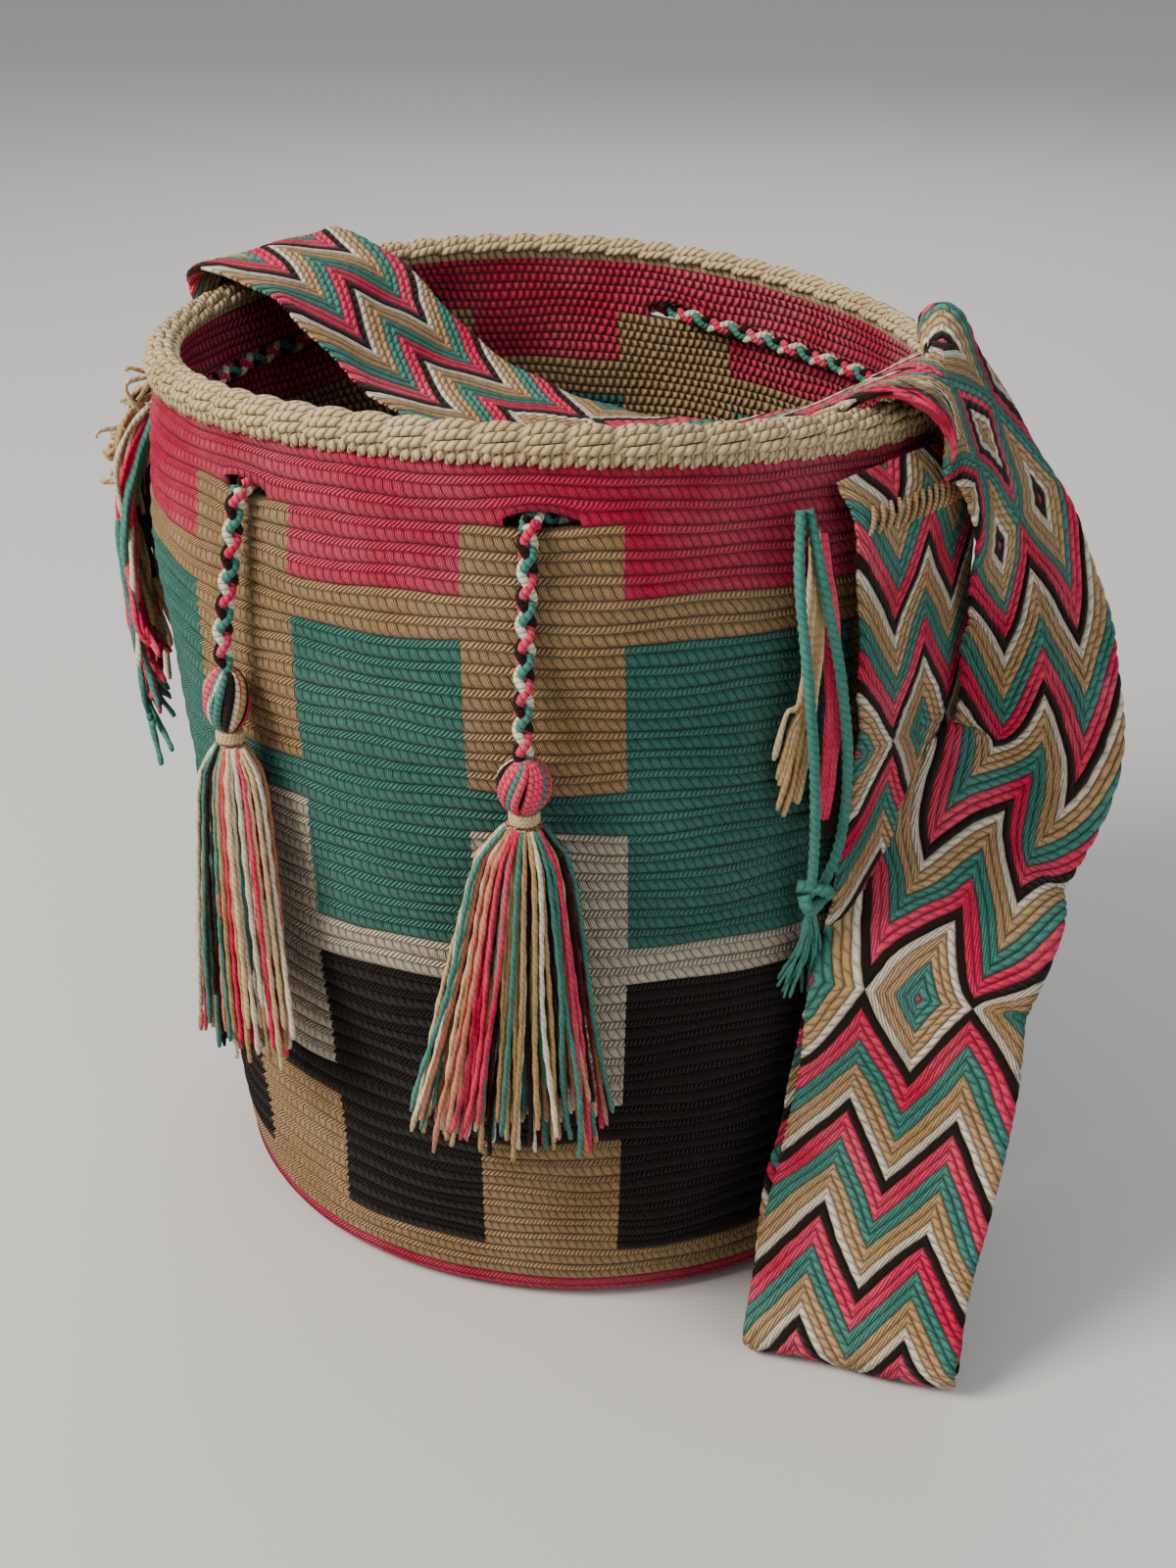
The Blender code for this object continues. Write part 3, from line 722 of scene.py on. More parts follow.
def unevenness(angle, row):
    """Slow waves of hand work: how far the wall stands out, and how far a row rides up."""
    turn = np.radians(angle)
    out = (0.0007 * np.sin(5 * turn + 0.21 * row) + 0.0005 * np.sin(9 * turn - 0.34 * row + 1.3)
           + 0.0004 * np.sin(13 * turn + 0.9 * row))
    rise = (0.0006 * np.sin(4 * turn + 0.8) + 0.0004 * np.sin(11 * turn + 0.6 * row)
            + 0.0003 * np.sin(17 * turn - 1.1 * row))
    fade = np.clip(row / 3.0, 0.0, 1.0) * np.clip((ROWS - row) / 3.0, 0.0, 1.0)
    return out * fade, rise * fade


def wall_mesh():
    sizes = bpy.context.scene.mochila_sizes
    angles, stems = wall_columns(sizes.columns)
    relief = sizes.relief
    # Rings of the outer face: row, how far the ring stands out, and which face it is on.
    rings = []
    for k in range(BASE_ROUNDS * 2, 0, -1):
        rings.append(("under", -k / 2, 0.0 if k % 2 else relief * 0.5))
    rings.append(("outer", 0.0, -0.0042))
    rings.append(("outer", 0.45, -0.0006))
    rings.append(("outer", 0.80, relief * 0.4))
    for row in range(1, 44):
        start = row + ROW_START
        for share, out in ((0.0, -0.62), (0.33, 0.25), (0.62, -0.45), (0.83, 0.50)):
            rings.append(("outer", start + share, relief * out))
    rings.append(("outer", TOP_ROW, 0.0))
    rings.append(("inner", TOP_ROW, 0.0))
    for row in range(43, 0, -1):
        start = row + ROW_START
        for share, out in ((0.5, -0.5), (0.0, 0.35)):
            rings.append(("inner", start + share, relief * out))
    for k in range(0, BASE_ROUNDS, 3):
        rings.append(("floor", -k, 0.0))
    rows = np.array([ring[1] for ring in rings])
    faces = [ring[0] for ring in rings]
    out = np.array([ring[2] for ring in rings])
    drift = COLUMN_LEAN * (np.clip(rows, 0, 45) - EDGES_ROW) / EDGES_ROW
    angle = angles[None, :] + drift[:, None]
    row = np.broadcast_to(rows[:, None], angle.shape)
    push, rise = unevenness(angle, row)
    co = np.zeros(angle.shape + (3,))
    for k, face in enumerate(faces):
        v = max(rows[k], 0.0) / ROWS
        if face in ("outer", "inner"):
            depth = -WALL_THICKNESS if face == "inner" else 0.0
            co[k] = wall(angle[k], v, depth + out[k] + push[k],
                         rise[k] + eyelet_lift(angle[k], row[k]))
        else:
            shrink = max(0.0, 1.0 + rows[k] / BASE_ROUNDS) * (0.965 if face == "under" else 0.95)
            edge = wall(angle[k], 0.0)
            co[k] = edge * [shrink, shrink, 1.0]
            co[k, :, 2] = 0.0009 - out[k] if face == "under" else WALL_THICKNESS
    co[:, -1] = co[:, 0]
    uv = np.zeros(co.shape[:2] + (2,))
    uv[..., 0] = (angle + UV_TURN) / 360.0
    shift = np.array([INNER_SHIFT if face in ("inner", "floor") else OUTER_SHIFT
                      for face in faces])
    uv[..., 1] = (rows + shift)[:, None] / UV_ROWS
    tint = wall_tint(stems, (rows[1:] + rows[:-1]) / 2)
    mesh = grids_to_mesh("bag_wall", [{"co": co, "uv": uv, "tint": tint}])
    open_eyelets(mesh)
    return mesh


def open_eyelets(mesh):
    """Opens the slits: takes out the faces between two rings on each side of the wall, and
    joins the two holes. A known fault: the floor's middle is open, and is joined with the
    first slit, which leaves a stray sheet inside the bag."""
    bm = bmesh.new()
    bm.from_mesh(mesh)
    layer = bm.loops.layers.uv.active
    for degrees in EYELETS.values():
        doomed = []
        for face in bm.faces:
            corners = [loop[layer].uv for loop in face.loops]
            centre = sum(uv.x for uv in corners) / len(corners)
            level = sum(uv.y for uv in corners) / len(corners) * UV_ROWS
            level -= INNER_SHIFT if corners[0].y > 0.5 else OUTER_SHIFT
            apart = turn_between(centre * 360.0 - UV_TURN, degrees)
            if EYELET_ROW < level < EYELET_ROW + EYELET_SLIT and abs(apart) < EYELET_HALF:
                doomed.append(face)
        bmesh.ops.delete(bm, geom=doomed, context="FACES")
        bmesh.ops.bridge_loops(bm, edges=[edge for edge in bm.edges if edge.is_boundary])
    for face in bm.faces:
        face.smooth = True
    bm.to_mesh(mesh)
    bm.free()


class MOCHILA_OT_wall(bpy.types.Operator):
    """Crochet the base and wall in one piece, with its eyelets"""
    bl_idname = "mochila.wall"
    bl_label = "Crocheted wall"

    def execute(self, context):
        mesh = wall_mesh()
        add_piece("bag_wall", mesh, crochet_material(), "wall_yarn", "bag", "bag_body")
        return {"FINISHED"}


def scallop(middle, tint):
    """One lump of the edging: yarns that arch along the rim round its core, and below them
    the slanted legs that hold it to the wall."""
    share = np.linspace(0.0, 1.0, 9)
    parts = []
    for k in range(6):
        section = np.radians(-38.0 + 38.0 * k + 26.0 * (share - 0.5))
        reach = 0.0024 + 0.0024 * np.sin(np.pi * share) ** 0.8
        line = wall(middle + 4.1 * (2.0 * share - 1.0), EDGING_V,
                    -WALL_THICKNESS / 2 + reach * np.cos(section),
                    reach * np.sin(section) - 0.0006)
        parts.append(strand(line, 0.00150, tint, sides=6, ends=(0.6, 0.5),
                            swell=0.80 + 0.25 * np.sin(np.pi * share)))
    share = np.linspace(0.0, 1.0, 5)
    for k in range(4):
        dip = 0.0012 * math.sin(math.pi * (k + 0.5) / 4)
        line = wall(middle - 2.4 + 1.45 * k + 1.6 * share, EDGING_V,
                    0.0008 + 0.0012 * np.sin(np.pi * (0.2 + 0.5 * share)),
                    -0.0050 - dip + 0.0046 * share)
        parts.append(strand(line, 0.00125, tint, sides=6, ends=(0.6, 0.6)))
    return parts


class MOCHILA_OT_edging(bpy.types.Operator):
    """Crochet the scalloped edging round the rim"""
    bl_idname = "mochila.edging"
    bl_label = "Scalloped edging"

    def execute(self, context):
        count = context.scene.mochila_sizes.scallops
        tint = yarn("edging")
        around = np.linspace(-180.0, 180.0, 4 * count + 1)
        section = np.linspace(0.0, 2 * np.pi, 13)
        co = wall(around[:, None], EDGING_V + 0.0 * section[None, :],
                  -WALL_THICKNESS / 2 + 0.0028 * np.cos(section)[None, :],
                  0.0036 * np.sin(section)[None, :] - 0.0006)
        co[-1] = co[0]
        uv = np.zeros(co.shape[:2] + (2,))
        uv[..., 0] = section / (2 * np.pi)
        uv[..., 1] = around[:, None] / 360.0 * 0.78
        parts = [{"co": co, "uv": uv, "tint": tint}]
        for k in range(count):
            parts += scallop(-180.0 + 360.0 * k / count, tint)
        mesh = grids_to_mesh("rim_scallops", parts)
        add_piece("rim_scallops", mesh, strand_material("edging_crochet", 0.0030, 2.0, 0.0008, 0.5),
                  "edging_yarn", "bag", "rim_edging")
        return {"FINISHED"}


# ---------------------------------------------------------------- strap

def strap_route():
    """Stations of the strap: centre, width direction and cup."""
    rim_left = wall(-127, 1.0)
    rim_right = wall(61, 1.0)
    over_left = -sideways(-127)
    on_wall = sideways(53)
    foot = np.array((0.0856, -0.1600, 0.0))
    foot_width = (0.95, -0.31, 0.0)
    foot_back = np.array((0.31, 0.95, 0.0))
    up = UP
    hug = 0.0042                # how far the strap's edges bend to follow the wall
    stations = [
        (wall(-127, 0.855, 0.0034), over_left, hug),
        (wall(-127, 0.905, 0.0034), over_left, hug),
        (wall(-127, 0.960, 0.0052), over_left, hug),
        (rim_left + outward(-127) * 0.0052 + up * 0.0040, over_left, hug * 0.5),
        (rim_left - outward(-127) * 0.0050 + up * 0.0080, over_left, 0.0),
        ((-0.0850, 0.0585, 0.2985), (0.55, 0.83, 0.0), 0.0),
        ((-0.0690, 0.0490, 0.2855), (0.53, 0.84, 0.0), 0.0),
        ((-0.0490, 0.0380, 0.2690), (0.53, 0.84, 0.0), 0.0),
        ((-0.0200, 0.0220, 0.2580), (0.52, 0.85, 0.0), 0.0),
        ((0.0120, 0.0050, 0.2545), (0.50, 0.86, 0.0), 0.0),
        ((0.0420, -0.0120, 0.2590), (0.48, 0.86, 0.0), 0.0),
        ((0.0700, -0.0300, 0.2725), (0.48, 0.86, 0.0), 0.0),
        ((0.0890, -0.0460, 0.2885), (0.48, 0.86, 0.0), 0.0),
        (rim_right + (0.0020, 0.0030, 0.0070), (0.47, 0.88, -0.06), 0.0),
        ((0.1185, -0.0500, 0.2830), (0.48, 0.86, -0.12), 0.0),
        ((0.1319, -0.0470, 0.2603), (0.51, 0.82, -0.26), 0.0),
        ((0.1428, -0.0480, 0.2298), (0.72, 0.63, -0.30), 0.0),
        ((0.1472, -0.0545, 0.2078), (0.83, 0.50, -0.24), 0.0),
        ((0.1468, -0.0690, 0.1755), (0.90, 0.40, -0.18), 0.0),
        ((0.1290, -0.0875, 0.1560), (0.92, 0.35, -0.15), 0.0),
        ((0.1198, -0.1045, 0.1405), (0.97, 0.20, -0.10), 0.0),
        ((0.1064, -0.1215, 0.1225), (1.00, 0.00, 0.00), 0.0),
        ((0.1030, -0.1305, 0.0915), (0.99, -0.10, 0.0), 0.0),
        ((0.0966, -0.1400, 0.0600), (0.97, -0.20, 0.0), 0.0),
        ((0.0912, -0.1475, 0.0400), (0.96, -0.27, 0.0), 0.0),
        (foot + up * 0.0130, foot_width, 0.0),
        (foot + foot_back * 0.0005 + up * 0.0052, foot_width, 0.0),
        (foot + foot_back * 0.0042 + up * 0.0022, foot_width, 0.0),
        (foot + foot_back * 0.0080 + up * 0.0050, foot_width, 0.0),
        (foot + foot_back * 0.0105 + up * 0.0130, foot_width, 0.0),
        ((0.0925, -0.1300, 0.0345), (0.95, -0.05, 0.0), 0.0),
        ((0.0968, -0.1130, 0.0620), (0.92, 0.38, 0.0), 0.0),
        ((0.1010, -0.0985, 0.0920), (0.86, 0.50, 0.0), -hug * 0.4),
        (wall(49, 0.440, 0.0075), sideways(46), -hug * 0.8),
        (wall(51, 0.560, 0.0055), sideways(51), -hug * 0.5),
        (wall(53, 0.680, 0.0050), on_wall, -hug * 0.3),
        (wall(53, 0.800, 0.0056), on_wall, -hug * 0.3),
        (wall(53, 0.880, 0.0080), on_wall, -hug * 0.7),
        (wall(53, 0.930, 0.0085), on_wall, -hug),
        (wall(53, 0.958, 0.0050), on_wall, -hug),
    ]
    return np.array([(*place, *width, cup) for place, width, cup in stations])


def strap_frames():
    """The strap at each millimetre: centre, width, face direction and cup, and its length."""
    line = smooth_line(strap_route(), 0.0010)
    centre = line[:, :3]
    run = np.gradient(centre, axis=0)
    run /= np.linalg.norm(run, axis=1)[:, None]
    width = line[:, 3:6] - run * (line[:, 3:6] * run).sum(1)[:, None]
    width /= np.linalg.norm(width, axis=1)[:, None]
    face = np.cross(width, run)
    return np.hstack([centre, width, face, line[:, 6:7]]), line_length(centre)


def strap_points(frames, share, across, off):
    """Points on the strap at shares of its length, across it, and off its middle face."""
    share = np.clip(share, 0.0, 1.0)
    places = np.linspace(0.0, 1.0, len(frames))
    share, across, off = np.broadcast_arrays(share, across, off)
    at = np.stack([np.interp(share, places, frames[:, k]) for k in range(10)], -1)
    lift = at[..., 9] * 4 * across * across + off
    return (at[..., 0:3] + at[..., 3:6] * (across * STRAP_WIDTH)[..., None]
            + at[..., 6:9] * lift[..., None])


def weave_depth(pattern, across):
    """The rope coordinate of the weave, as its whole numbers part one rope from the next."""
    peak = np.abs(1.0 - 4.0 * np.abs(across))
    x = (pattern - DIAMOND_AT) / ROPE
    x = np.abs((x - REPEAT_HALF) % (2 * REPEAT_HALF) - REPEAT_HALF)
    k1 = x - peak * ROPES_RISE
    k2 = x - ZIGZAG_ROPES - ROPES_RISE - (1.0 - peak) * ROPES_RISE
    pair = np.minimum(k1 - ZIGZAG_ROPES, -k2)
    return np.where(k1 < 0, -k1, np.where(k2 > 0, k2, np.where(k1 > ZIGZAG_ROPES, pair, k1)))


def strap_mesh():
    sizes = bpy.context.scene.mochila_sizes
    frames, length = strap_frames()
    pattern_start, pattern_end = PATTERN_KNOTS[0], PATTERN_KNOTS[-1]
    margin = ROPES_RISE * ROPE / 2
    lines = np.arange(pattern_start - margin, pattern_end + margin, ROPE / 4)
    x = (lines - DIAMOND_AT) / ROPE
    # The mesh rows climb with the zigzag, and turn over in each row of diamonds.
    fold = (x + REPEAT_HALF) % (2 * REPEAT_HALF) - REPEAT_HALF
    tilt = np.sign(fold) * np.interp(np.abs(fold), (0, 5, 29, 36, 37.7), (0, 1, 1, 0.15, 0.0))
    across_top = np.linspace(-0.5, 0.5, 33)
    across = np.concatenate([across_top, across_top[::-1], across_top[:1]])
    side = np.concatenate([np.ones(33), -np.ones(33), np.ones(1)])
    peak = np.abs(1.0 - 4.0 * np.abs(across))
    pattern = lines[:, None] + tilt[:, None] * (peak[None, :] - 0.5) * ROPES_RISE * ROPE
    pattern = np.clip(pattern, pattern_start, pattern_end)
    along = np.interp(pattern, PATTERN_KNOTS, STRAP_KNOTS)
    depth = weave_depth(pattern, across[None, :])
    q = depth % 1.0
    rope = np.sqrt(np.clip(4 * q * (1 - q), 0.0, 1.0))
    edge = np.clip((0.5 - np.abs(across)) / 0.022, 0.0, 1.0)[None, :]
    thick = (0.0009 + sizes.rope_relief * rope) * (0.35 + 0.65 * np.sqrt(edge))
    spread = across[None, :] * (1.0 + 0.016 * rope * (1 - edge))
    pucker = 0.0005 * np.sin(along * 210.0) * np.sin(across[None, :] * 9.0)
    co = strap_points(frames, along / STRAP_LENGTH, spread, side[None, :] * thick + pucker)
    co[:, -1] = co[:, 0]
    uv = np.zeros(co.shape[:2] + (2,))
    uv[..., 0] = across[None, :] + 0.5
    uv[..., 1] = pattern
    mesh = grids_to_mesh("woven_strap", [{"co": co, "uv": uv}])
    close_ends(mesh)
    return mesh, length


def close_ends(mesh):
    bm = bmesh.new()
    bm.from_mesh(mesh)
    rims = [edge for edge in bm.edges if edge.is_boundary]
    bmesh.ops.holes_fill(bm, edges=rims, sides=0)
    bmesh.ops.triangulate(bm, faces=[face for face in bm.faces if len(face.verts) > 4])
    bm.to_mesh(mesh)
    bm.free()


class MOCHILA_OT_strap(bpy.types.Operator):
    """Weave the strap and lay it over the rim"""
    bl_idname = "mochila.strap"
    bl_label = "Woven strap"

    def execute(self, context):
        mesh, length = strap_mesh()
        made = add_piece("woven_strap", mesh, weave_material(), "strap_yarn", "bag", "strap")
        frames, _ = strap_frames()
        for name, start, side in (("left", 0.012, -1), ("right", 0.985, 1)):
            parts = []
            share = np.linspace(0.0, 1.0, 7)
            for low in -0.46 + 0.92 * np.arange(16) / 16:
                line = strap_points(frames, start + (share - 0.5) * 0.008,
                                    low + 0.045 * share,
                                    side * (0.0018 + 0.0009 * np.sin(np.pi * share)))
                parts.append(strand(line, 0.00075, yarn("tan"), sides=6, ends=(0.7, 0.7)))
            seam = grids_to_mesh("seam_" + name, parts)
            add_piece("seam_stitches_" + name, seam,
                      strand_material("seam_yarn_" + name, 0.0012, 1.0, 0.0002), "sewing_yarn",
                      "bag", "strap_seam_" + name)
        return {"FINISHED"}


# ---------------------------------------------------------------- drawstring and tassels

def along_wall(start, end, off):
    steps = max(2, round((end - start) / 11.0))
    return [wall(start + (end - start) * k / steps, EYELET_V, off,
                 -0.0025 * math.sin(math.pi * k / steps)) for k in range(1, steps)]


def drawstring_line():
    """The cord's route from the front eyelet round the bag to the left one, in and out."""
    out = CORD_RADIUS + 0.0007
    inside = -(WALL_THICKNESS + CORD_RADIUS + 0.0007)
    turn = 4.2
    stops = [("right_1", inside, out), ("right_2", out, inside), ("right_3", inside, out),
             ("left_3", out, inside)]
    front = CORD_EXIT["front"]
    points = [wall(front, EYELET_V, 0.0018), wall(front + 0.9, EYELET_V, -0.0040),
              wall(front + 4.0, EYELET_V, inside)]
    here = front + 4.0
    for name, before, after in stops:
        middle = EYELETS[name] % 360
        points += along_wall(here, middle - turn, before)
        points += [wall(middle - turn, EYELET_V, before),
                   wall(middle, EYELET_V, (before + after) / 2),
                   wall(middle + turn, EYELET_V, after)]
        here = middle + turn
    end = CORD_EXIT["left"] % 360
    points += along_wall(here, end - 4.0, inside)
    points += [wall(end - 4.0, EYELET_V, inside), wall(end - 0.9, EYELET_V, -0.0040),
               wall(end, EYELET_V, 0.0018)]
    return smooth_line(points, 0.0085)


def braid_tints():
    return [yarn("raspberry"), yarn("cream"), yarn("green"), yarn("brown")]


def tassel_frame(side):
    """Exit of the cord, and the outward and sideways directions there."""
    degrees = CORD_EXIT[side]
    out = outward(degrees, EYELET_V)
    return wall(degrees, EYELET_V, 0.0030), out, np.array((-out[1], out[0], 0.0))


def tassel_tops(side):
    """Top of the head, and the line of the hanging cord down to it."""
    size = TASSELS[side]
    spot, out, along = tassel_frame(side)
    up = UP
    top = spot - up * size["drop"] + out * size["reach"] + along * size["lean"]
    line = smooth_line([spot, spot - up * 0.0030 + out * 0.0014,
                        spot - up * 0.0100 + out * 0.0032, spot * 0.55 + top * 0.45 + out * 0.0012,
                        top + up * 0.012 - out * 0.0003, top - up * 0.0006], 0.004)
    return top, line


def run_on(side, top, line):
    """The hanging cord's line, with its tied end that goes on inside the head and skirt."""
    reach = TASSELS[side]["head"][1] + BINDING_HEIGHT + TIED_END
    count = round(reach / 0.004)
    inside = [top - UP * (reach * k / count) for k in range(1, count + 1)]
    return np.vstack([line, inside])


def coiled(low, drop, reach, turn, side):
    """A line round a tassel's axis: below a point, out from the axis, and turned round it."""
    _, out, along = tassel_frame(side)
    return (low - UP * drop[:, None] + (reach * np.cos(turn))[:, None] * along
            + (reach * np.sin(turn))[:, None] * out)


def head_parts(side, top, random_yarn):
    """A bulb of yarns that run from the cord over a core and in to the neck."""
    size = TASSELS[side]
    radius, height = size["head"]
    parts = []
    share = np.linspace(0.0, 1.0, 13)
    level = height * (1 - np.cos(np.pi * share)) / 2
    reach = (radius - 0.0004) * np.sin(np.pi * np.clip(share, 0.04, 0.93)) ** 0.9
    core = np.array([top - UP * d for d in np.linspace(0.0012, height - 0.0012, 9)])
    swell = np.sin(np.pi * np.linspace(0.12, 0.88, 9))
    parts.append(strand(core, radius * 0.78, yarn("brown"), sides=12, swell=swell))
    count = 22
    for k in range(count):
        start = 2 * math.pi * k / count
        turn = start + random_yarn.uniform(0.7, 1.7) * share
        line = coiled(top, level, reach * random_yarn.uniform(0.88, 1.0), turn, side)
        tint = random_yarn.choice([yarn("raspberry")] * 4 + [yarn("brown")] * 2
                                  + [yarn("tan"), yarn("green"), yarn("cream")])
        parts.append(strand(line, 0.00125, tint, sides=6, ends=(0.7, 0.7)))
    return parts


def binding_parts(side, low):
    """Four turns of yarn round the neck."""
    size = TASSELS[side]
    turn = np.linspace(0.0, 8 * np.pi, 97)
    drop = 0.0006 + (BINDING_HEIGHT - 0.0012) * turn / turn[-1]
    line = coiled(low, drop, size["neck"] - 0.0006, turn, side)
    core = np.array([low - UP * d for d in (0.0, BINDING_HEIGHT / 2, BINDING_HEIGHT)])
    return [strand(line, 0.00062, yarn("edging"), sides=6),
            strand(core, size["neck"] - 0.0008, yarn("tan"), sides=12)]


def skirt_parts(side, low, random_yarn):
    """Loose two-ply strands that hang from the binding, spread and end unevenly."""
    size = TASSELS[side]
    neck, hem, length = size["skirt"]
    _, out, along = tassel_frame(side)
    radius = bpy.context.scene.mochila_sizes.strand_radius
    salmon = tuple(0.6 * a + 0.4 * b for a, b in zip(yarn("tan"), yarn("raspberry")))
    choices = ([yarn("raspberry")] * 5 + [yarn("tan")] * 5 + [yarn("cream")] * 5
               + [yarn("green")] * 4 + [yarn("brown")] * 2 + [salmon] * 4 + [yarn("edging")] * 2)
    parts = []
    count = size["strands"]
    for k in range(count):
        turn = GOLDEN_TURN * k
        rank = math.sqrt((k + 0.5) / count)
        reach = length * random_yarn.uniform(0.84, 1.0)
        if random_yarn.random() < 0.15:
            reach *= random_yarn.uniform(0.78, 0.95)
        share = np.linspace(0.0, 1.0, 12)
        drop = share * reach
        level = drop / length
        wide = (neck * 0.62 + (neck * 0.72) * np.sin(np.pi * np.clip(level * 4.0, 0, 0.5))
                + (hem - neck) * level)
        depth = TASSEL_DEPTH + (1 - level) * (0.9 - TASSEL_DEPTH)
        wave = random_yarn.uniform(0.2, 1.0) * 0.0019
        phase = random_yarn.uniform(0, 6.28)
        sway = wave * np.sin(share * random_yarn.uniform(4.0, 9.0) + phase) * share
        fan = rank * random_yarn.uniform(0.80, 1.0)
        x = wide * 1.16 * fan * math.cos(turn) + size["swing"] * level + sway
        y = wide * fan * depth * math.sin(turn) + size["stand_off"] * level + sway * 0.4
        room = (neck + (hem - neck) * level) * depth - radius
        y = np.clip(y, -room + size["stand_off"] * level, None)
        start = low - UP * (drop + 0.0006)[:, None]
        line = start + x[:, None] * along + y[:, None] * out
        line = even_line(line, 0.0021)
        tint = np.array(random_yarn.choice(choices)) * random_yarn.uniform(0.82, 1.12)
        parts.append(strand(line, radius, tuple(tint), sides=8, lobes=0.24, pitch=0.0052,
                            phase=phase, ends=(0.9, 0.75)))
    return parts


class MOCHILA_OT_drawstring(bpy.types.Operator):
    """Braid the drawstring and thread it through the eyelets"""
    bl_idname = "mochila.drawstring"
    bl_label = "Drawstring"

    def execute(self, context):
        line = drawstring_line()
        mesh = grids_to_mesh("drawstring_braid", braid(line, CORD_RADIUS, braid_tints()))
        made = add_piece("drawstring_braid", mesh,
                         strand_material("drawstring_yarn", 0.0016, 1.0, 0.0003), "cord_yarn",
                         "bag", "drawstring")
        return {"FINISHED"}


class MOCHILA_OT_tassels(bpy.types.Operator):
    """Hang the two ends of the drawstring with their tassels"""
    bl_idname = "mochila.tassels"
    bl_label = "Tassels"

    def execute(self, context):
        for seed, side in enumerate(TASSELS):
            chance = random.Random(11 + seed)
            body = "tassel_" + side
            top, line = tassel_tops(side)
            line = run_on(side, top, line)
            cord = add_piece(
                body + "_braid", grids_to_mesh(body + "_braid",
                                               braid(line, CORD_RADIUS, braid_tints())),
                strand_material(body + "_cord_yarn", 0.0016, 1.0, 0.0003),
                "hanging_cord_yarn", body, body + "_cord")
            head = add_piece(
                body + "_bulb", grids_to_mesh(body + "_bulb", head_parts(side, top, chance)),
                strand_material(body + "_head_yarn", 0.0018, 1.0, 0.0003), "head_yarn", body,
                body + "_head")
            height = TASSELS[side]["head"][1]
            low = top - UP * (height + 0.0003)
            wrap = add_piece(
                body + "_wrap", grids_to_mesh(body + "_wrap", binding_parts(side, low)),
                strand_material(body + "_binding_yarn", 0.0012, 1.0, 0.0002), "binding_yarn",
                body, body + "_binding")
            hem = low - UP * (BINDING_HEIGHT + 0.0003)
            skirt = add_piece(
                body + "_strands", grids_to_mesh(body + "_strands",
                                                 skirt_parts(side, hem, chance)),
                strand_material(body + "_skirt_yarn", 0.0026, 2.0, 0.0002, 0.8), "skirt_yarn",
                body, body + "_skirt")
        return {"FINISHED"}


# ---------------------------------------------------------------- fringes

def loose(points, radius, tint, pitch=0.004, lobes=0.22, step=0.0018):
    """A loose plied thread through points given as angle, height, distance off the wall."""
    line = smooth_line([wall(a, v, off) for a, v, off in points], step)
    return strand(line, radius, tint, sides=8, lobes=lobes, pitch=pitch, ends=(0.9, 0.7))


def curl(start, way, size, turns, drop, radius, tint, tilt=0.0):
    """A curling thread: it leaves a point one way and winds down as it goes."""
    share = np.linspace(0.0, 1.0, 26)
    way = np.array(way, float)
    way /= np.linalg.norm(way)
    up = UP
    bend = size * (np.sin(2 * np.pi * turns * share + tilt) - math.sin(tilt))
    line = (np.array(start) + way * (size * 2.0 * np.sqrt(share))[:, None]
            + way * (bend * 0.45)[:, None] - up * (drop * share ** 1.2)[:, None]
            + up * (size * 0.35 * np.sin(2 * np.pi * turns * share))[:, None])
    line = even_line(line, 0.0018)
    return strand(line, radius, tint, sides=8, lobes=0.22, pitch=0.004, ends=(0.9, 0.7))


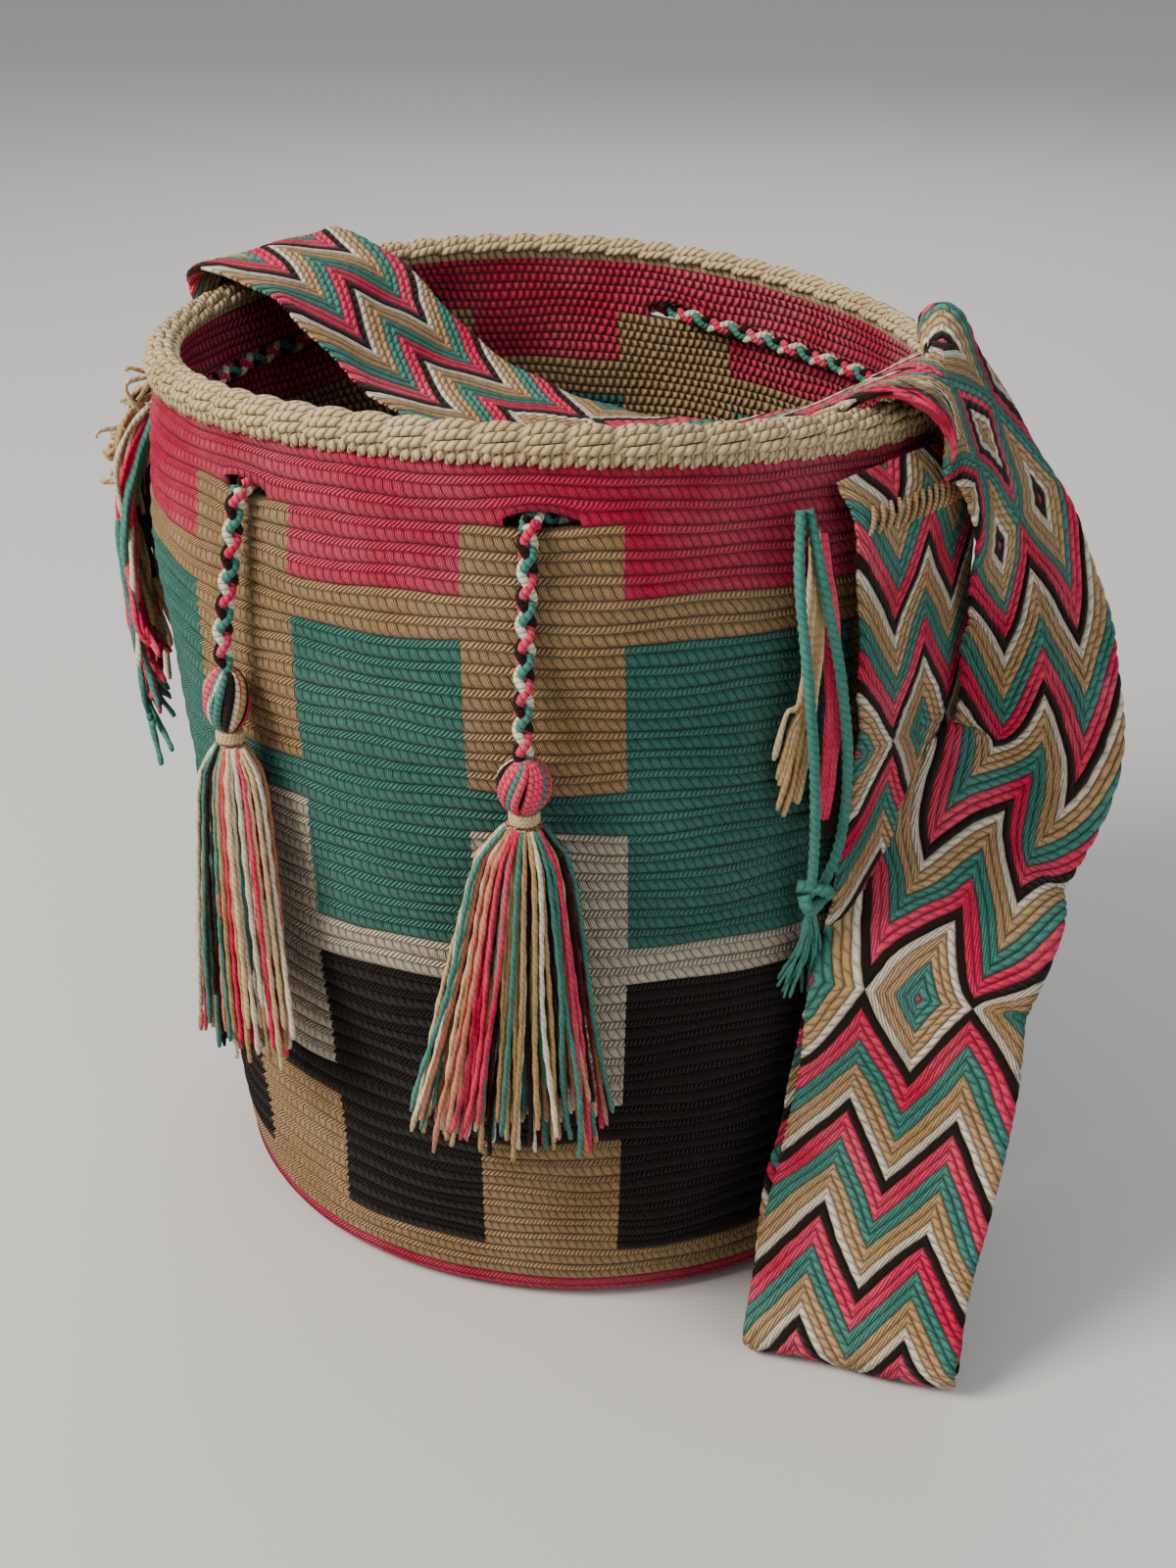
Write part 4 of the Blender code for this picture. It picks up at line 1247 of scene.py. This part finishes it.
class MOCHILA_OT_fringes(bpy.types.Operator):
    """Hang the loose yarn ends beside the strap's seams"""
    bl_idname = "mochila.fringes"
    bl_label = "Loose yarn ends"

    def execute(self, context):
        chance = random.Random(5)
        tan, cream, green = yarn("tan"), yarn("cream"), yarn("green")
        raspberry, brown, edging = yarn("raspberry"), yarn("brown"), yarn("edging")
        right = []
        # Two long green cords, each of plied yarn, and the knot and brush at their end.
        for shift, lift in ((0.0, 0.0), (3.4, -0.0004)):
            line = smooth_line([wall(a, v, off + lift) for a, v, off in (
                (31.5 + shift * 0.4, 0.925, 0.0060), (29.5 + shift, 0.86, 0.0110),
                (30.0 + shift * 1.4, 0.76, 0.0125), (31.0 + shift * 1.5, 0.66, 0.0115),
                (31.6 + shift * 1.2, 0.57, 0.0095), (31.5 + shift * 0.5, 0.515, 0.0080))], 0.0016)
            right.append(strand(line, 0.0016, green, sides=8, lobes=0.20, pitch=0.0068))
        knot = smooth_line([wall(a, v, off) for a, v, off in (
            (30.2, 0.528, 0.0060), (33.4, 0.522, 0.0105), (34.0, 0.508, 0.0070),
            (30.8, 0.505, 0.0105), (30.4, 0.520, 0.0085))], 0.0014)
        right.append(strand(knot, 0.0021, green, sides=8, lobes=0.12, pitch=0.006))
        for k in range(30):
            lean = chance.uniform(-3.6, 3.0)
            reach = chance.uniform(0.085, 0.125)
            right.append(loose([(31.8, 0.512, 0.0075), (31.8 + lean * 0.5, 0.512 - reach * 0.5,
                                                        0.0070 + chance.uniform(-.002, .003)),
                                (31.6 + lean, 0.512 - reach, 0.0055 + chance.uniform(-.002, .002))],
                               0.00055, tuple(np.array(green) * chance.uniform(0.8, 1.15)),
                               0.003))
        for k in range(14):
            lean = chance.uniform(-1.5, 1.8)
            low = chance.uniform(0.60, 0.68)
            tint = tuple(np.array(chance.choice([tan, tan, edging])) * chance.uniform(0.85, 1.1))
            right.append(loose([(33.5 + lean * 0.3, 0.905, 0.0055), (32.0 + lean, 0.83, 0.0080),
                                (30.6 + lean, 0.74, 0.0080), (29.0 + lean * 1.3, low + 0.05, .0075),
                                (27.6 + lean * 1.5, low, 0.0060)], 0.00085, tint))
        for tint, low, high, stations in (
                (raspberry, -1.2, 1.6, ((35.0, 0.90, 0.0050), (35.2, 0.80, 0.0075),
                                        (35.0, 0.70, 0.0080), (33.6, 0.60, 0.0070))),
                (brown, -1.0, 1.5, ((35.6, 0.90, 0.0045), (36.4, 0.78, 0.0065),
                                    (36.0, 0.66, 0.0065), (35.2, 0.575, 0.0060)))):
            for k in range(6):
                lean = chance.uniform(low, high)
                right.append(loose([(a + lean * (0.4 if i == 0 else 1.0), v, off)
                                    for i, (a, v, off) in enumerate(stations)], 0.0009, tint))
        left = []
        # The short ends stand out from the seam in curls; the long ones hang from it.
        for k in range(30):
            start = wall(chance.uniform(-108, -98), chance.uniform(0.86, 0.945), 0.004)
            way = (-1.0, chance.uniform(-0.8, 0.1), chance.uniform(-0.25, 0.35))
            tint = tuple(np.array(chance.choice([edging, edging, tan, tan, cream]))
                         * chance.uniform(0.9, 1.15))
            left.append(curl(start, way, chance.uniform(0.0060, 0.0125), chance.uniform(0.6, 1.4),
                             chance.uniform(0.004, 0.026), 0.0009, tint, chance.uniform(0, 3)))
        groups = ((brown, 16, 0.70, 0.88, 2.0), (tan, 22, 0.62, 0.84, 6.0),
                  (raspberry, 14, 0.60, 0.72, 12.0), (cream, 7, 0.60, 0.80, 9.0),
                  (green, 12, 0.545, 0.66, 15.0))
        for tint, count, low, high, turn in groups:
            for k in range(count):
                lean = chance.uniform(-4.0, 4.0)
                end = low + chance.uniform(-0.015, 0.06)
                wave = chance.uniform(-3.0, 3.0)
                shade = tuple(np.array(tint) * chance.uniform(0.85, 1.12))
                left.append(loose([(-106.0 + turn * 0.4, 0.915, 0.0055),
                                   (-103.0 + turn * 0.8 + lean * 0.5 + wave, (high + 0.9) / 2,
                                    0.0105 + chance.uniform(0, .006)),
                                   (-101.0 + turn * 1.1 + lean - wave, (high + end) / 2,
                                    0.0095 + chance.uniform(0, .007)),
                                   (-99.0 + turn * 1.3 + lean * 1.6 + wave, end,
                                    0.0050 + chance.uniform(0, .008))], 0.0010, shade))
        left.append(loose([(-108, 0.93, 0.006), (-107.5, 0.86, 0.013), (-107, 0.77, 0.0115),
                           (-106, 0.70, 0.010)], 0.0017, cream, 0.0062, 0.2))
        for name, parts in (("left", left), ("right", right)):
            add_piece("loose_ends_" + name, grids_to_mesh("loose_ends_" + name, parts),
                      strand_material("loose_yarn_" + name, 0.0026, 2.0, 0.0002, 0.8),
                      "fringe_yarn", "bag", "strap_fringe_" + name)
        return {"FINISHED"}


# ---------------------------------------------------------------- panel and registration

class MOCHILA_PT_panel(bpy.types.Panel):
    """Lists the bag's yarns, sizes and pieces"""
    bl_idname = "MOCHILA_PT_panel"
    bl_label = "Mochila bag"
    bl_space_type = "VIEW_3D"
    bl_region_type = "UI"
    bl_category = "Mochila"

    def draw(self, context):
        layout = self.layout
        for settings in (context.scene.mochila_yarns, context.scene.mochila_sizes):
            for name in settings.__annotations__:
                layout.prop(settings, name)
        for operator in OPERATORS:
            layout.operator(operator.bl_idname)


OPERATORS = (MOCHILA_OT_stage, MOCHILA_OT_drawstring, MOCHILA_OT_tassels, MOCHILA_OT_wall,
             MOCHILA_OT_edging, MOCHILA_OT_strap, MOCHILA_OT_fringes)
CLASSES = (MochilaYarns, MochilaSizes) + OPERATORS + (MOCHILA_PT_panel,)


def register():
    for item in CLASSES:
        bpy.utils.register_class(item)
    bpy.types.Scene.mochila_yarns = bpy.props.PointerProperty(type=MochilaYarns)
    bpy.types.Scene.mochila_sizes = bpy.props.PointerProperty(type=MochilaSizes)


def unregister():
    del bpy.types.Scene.mochila_sizes
    del bpy.types.Scene.mochila_yarns
    for item in reversed(CLASSES):
        bpy.utils.unregister_class(item)


def main():
    register()
    for make in ("stage", "drawstring", "tassels", "wall", "edging", "strap", "fringes"):
        getattr(bpy.ops.mochila, make)()


if __name__ == "__main__":
    main()
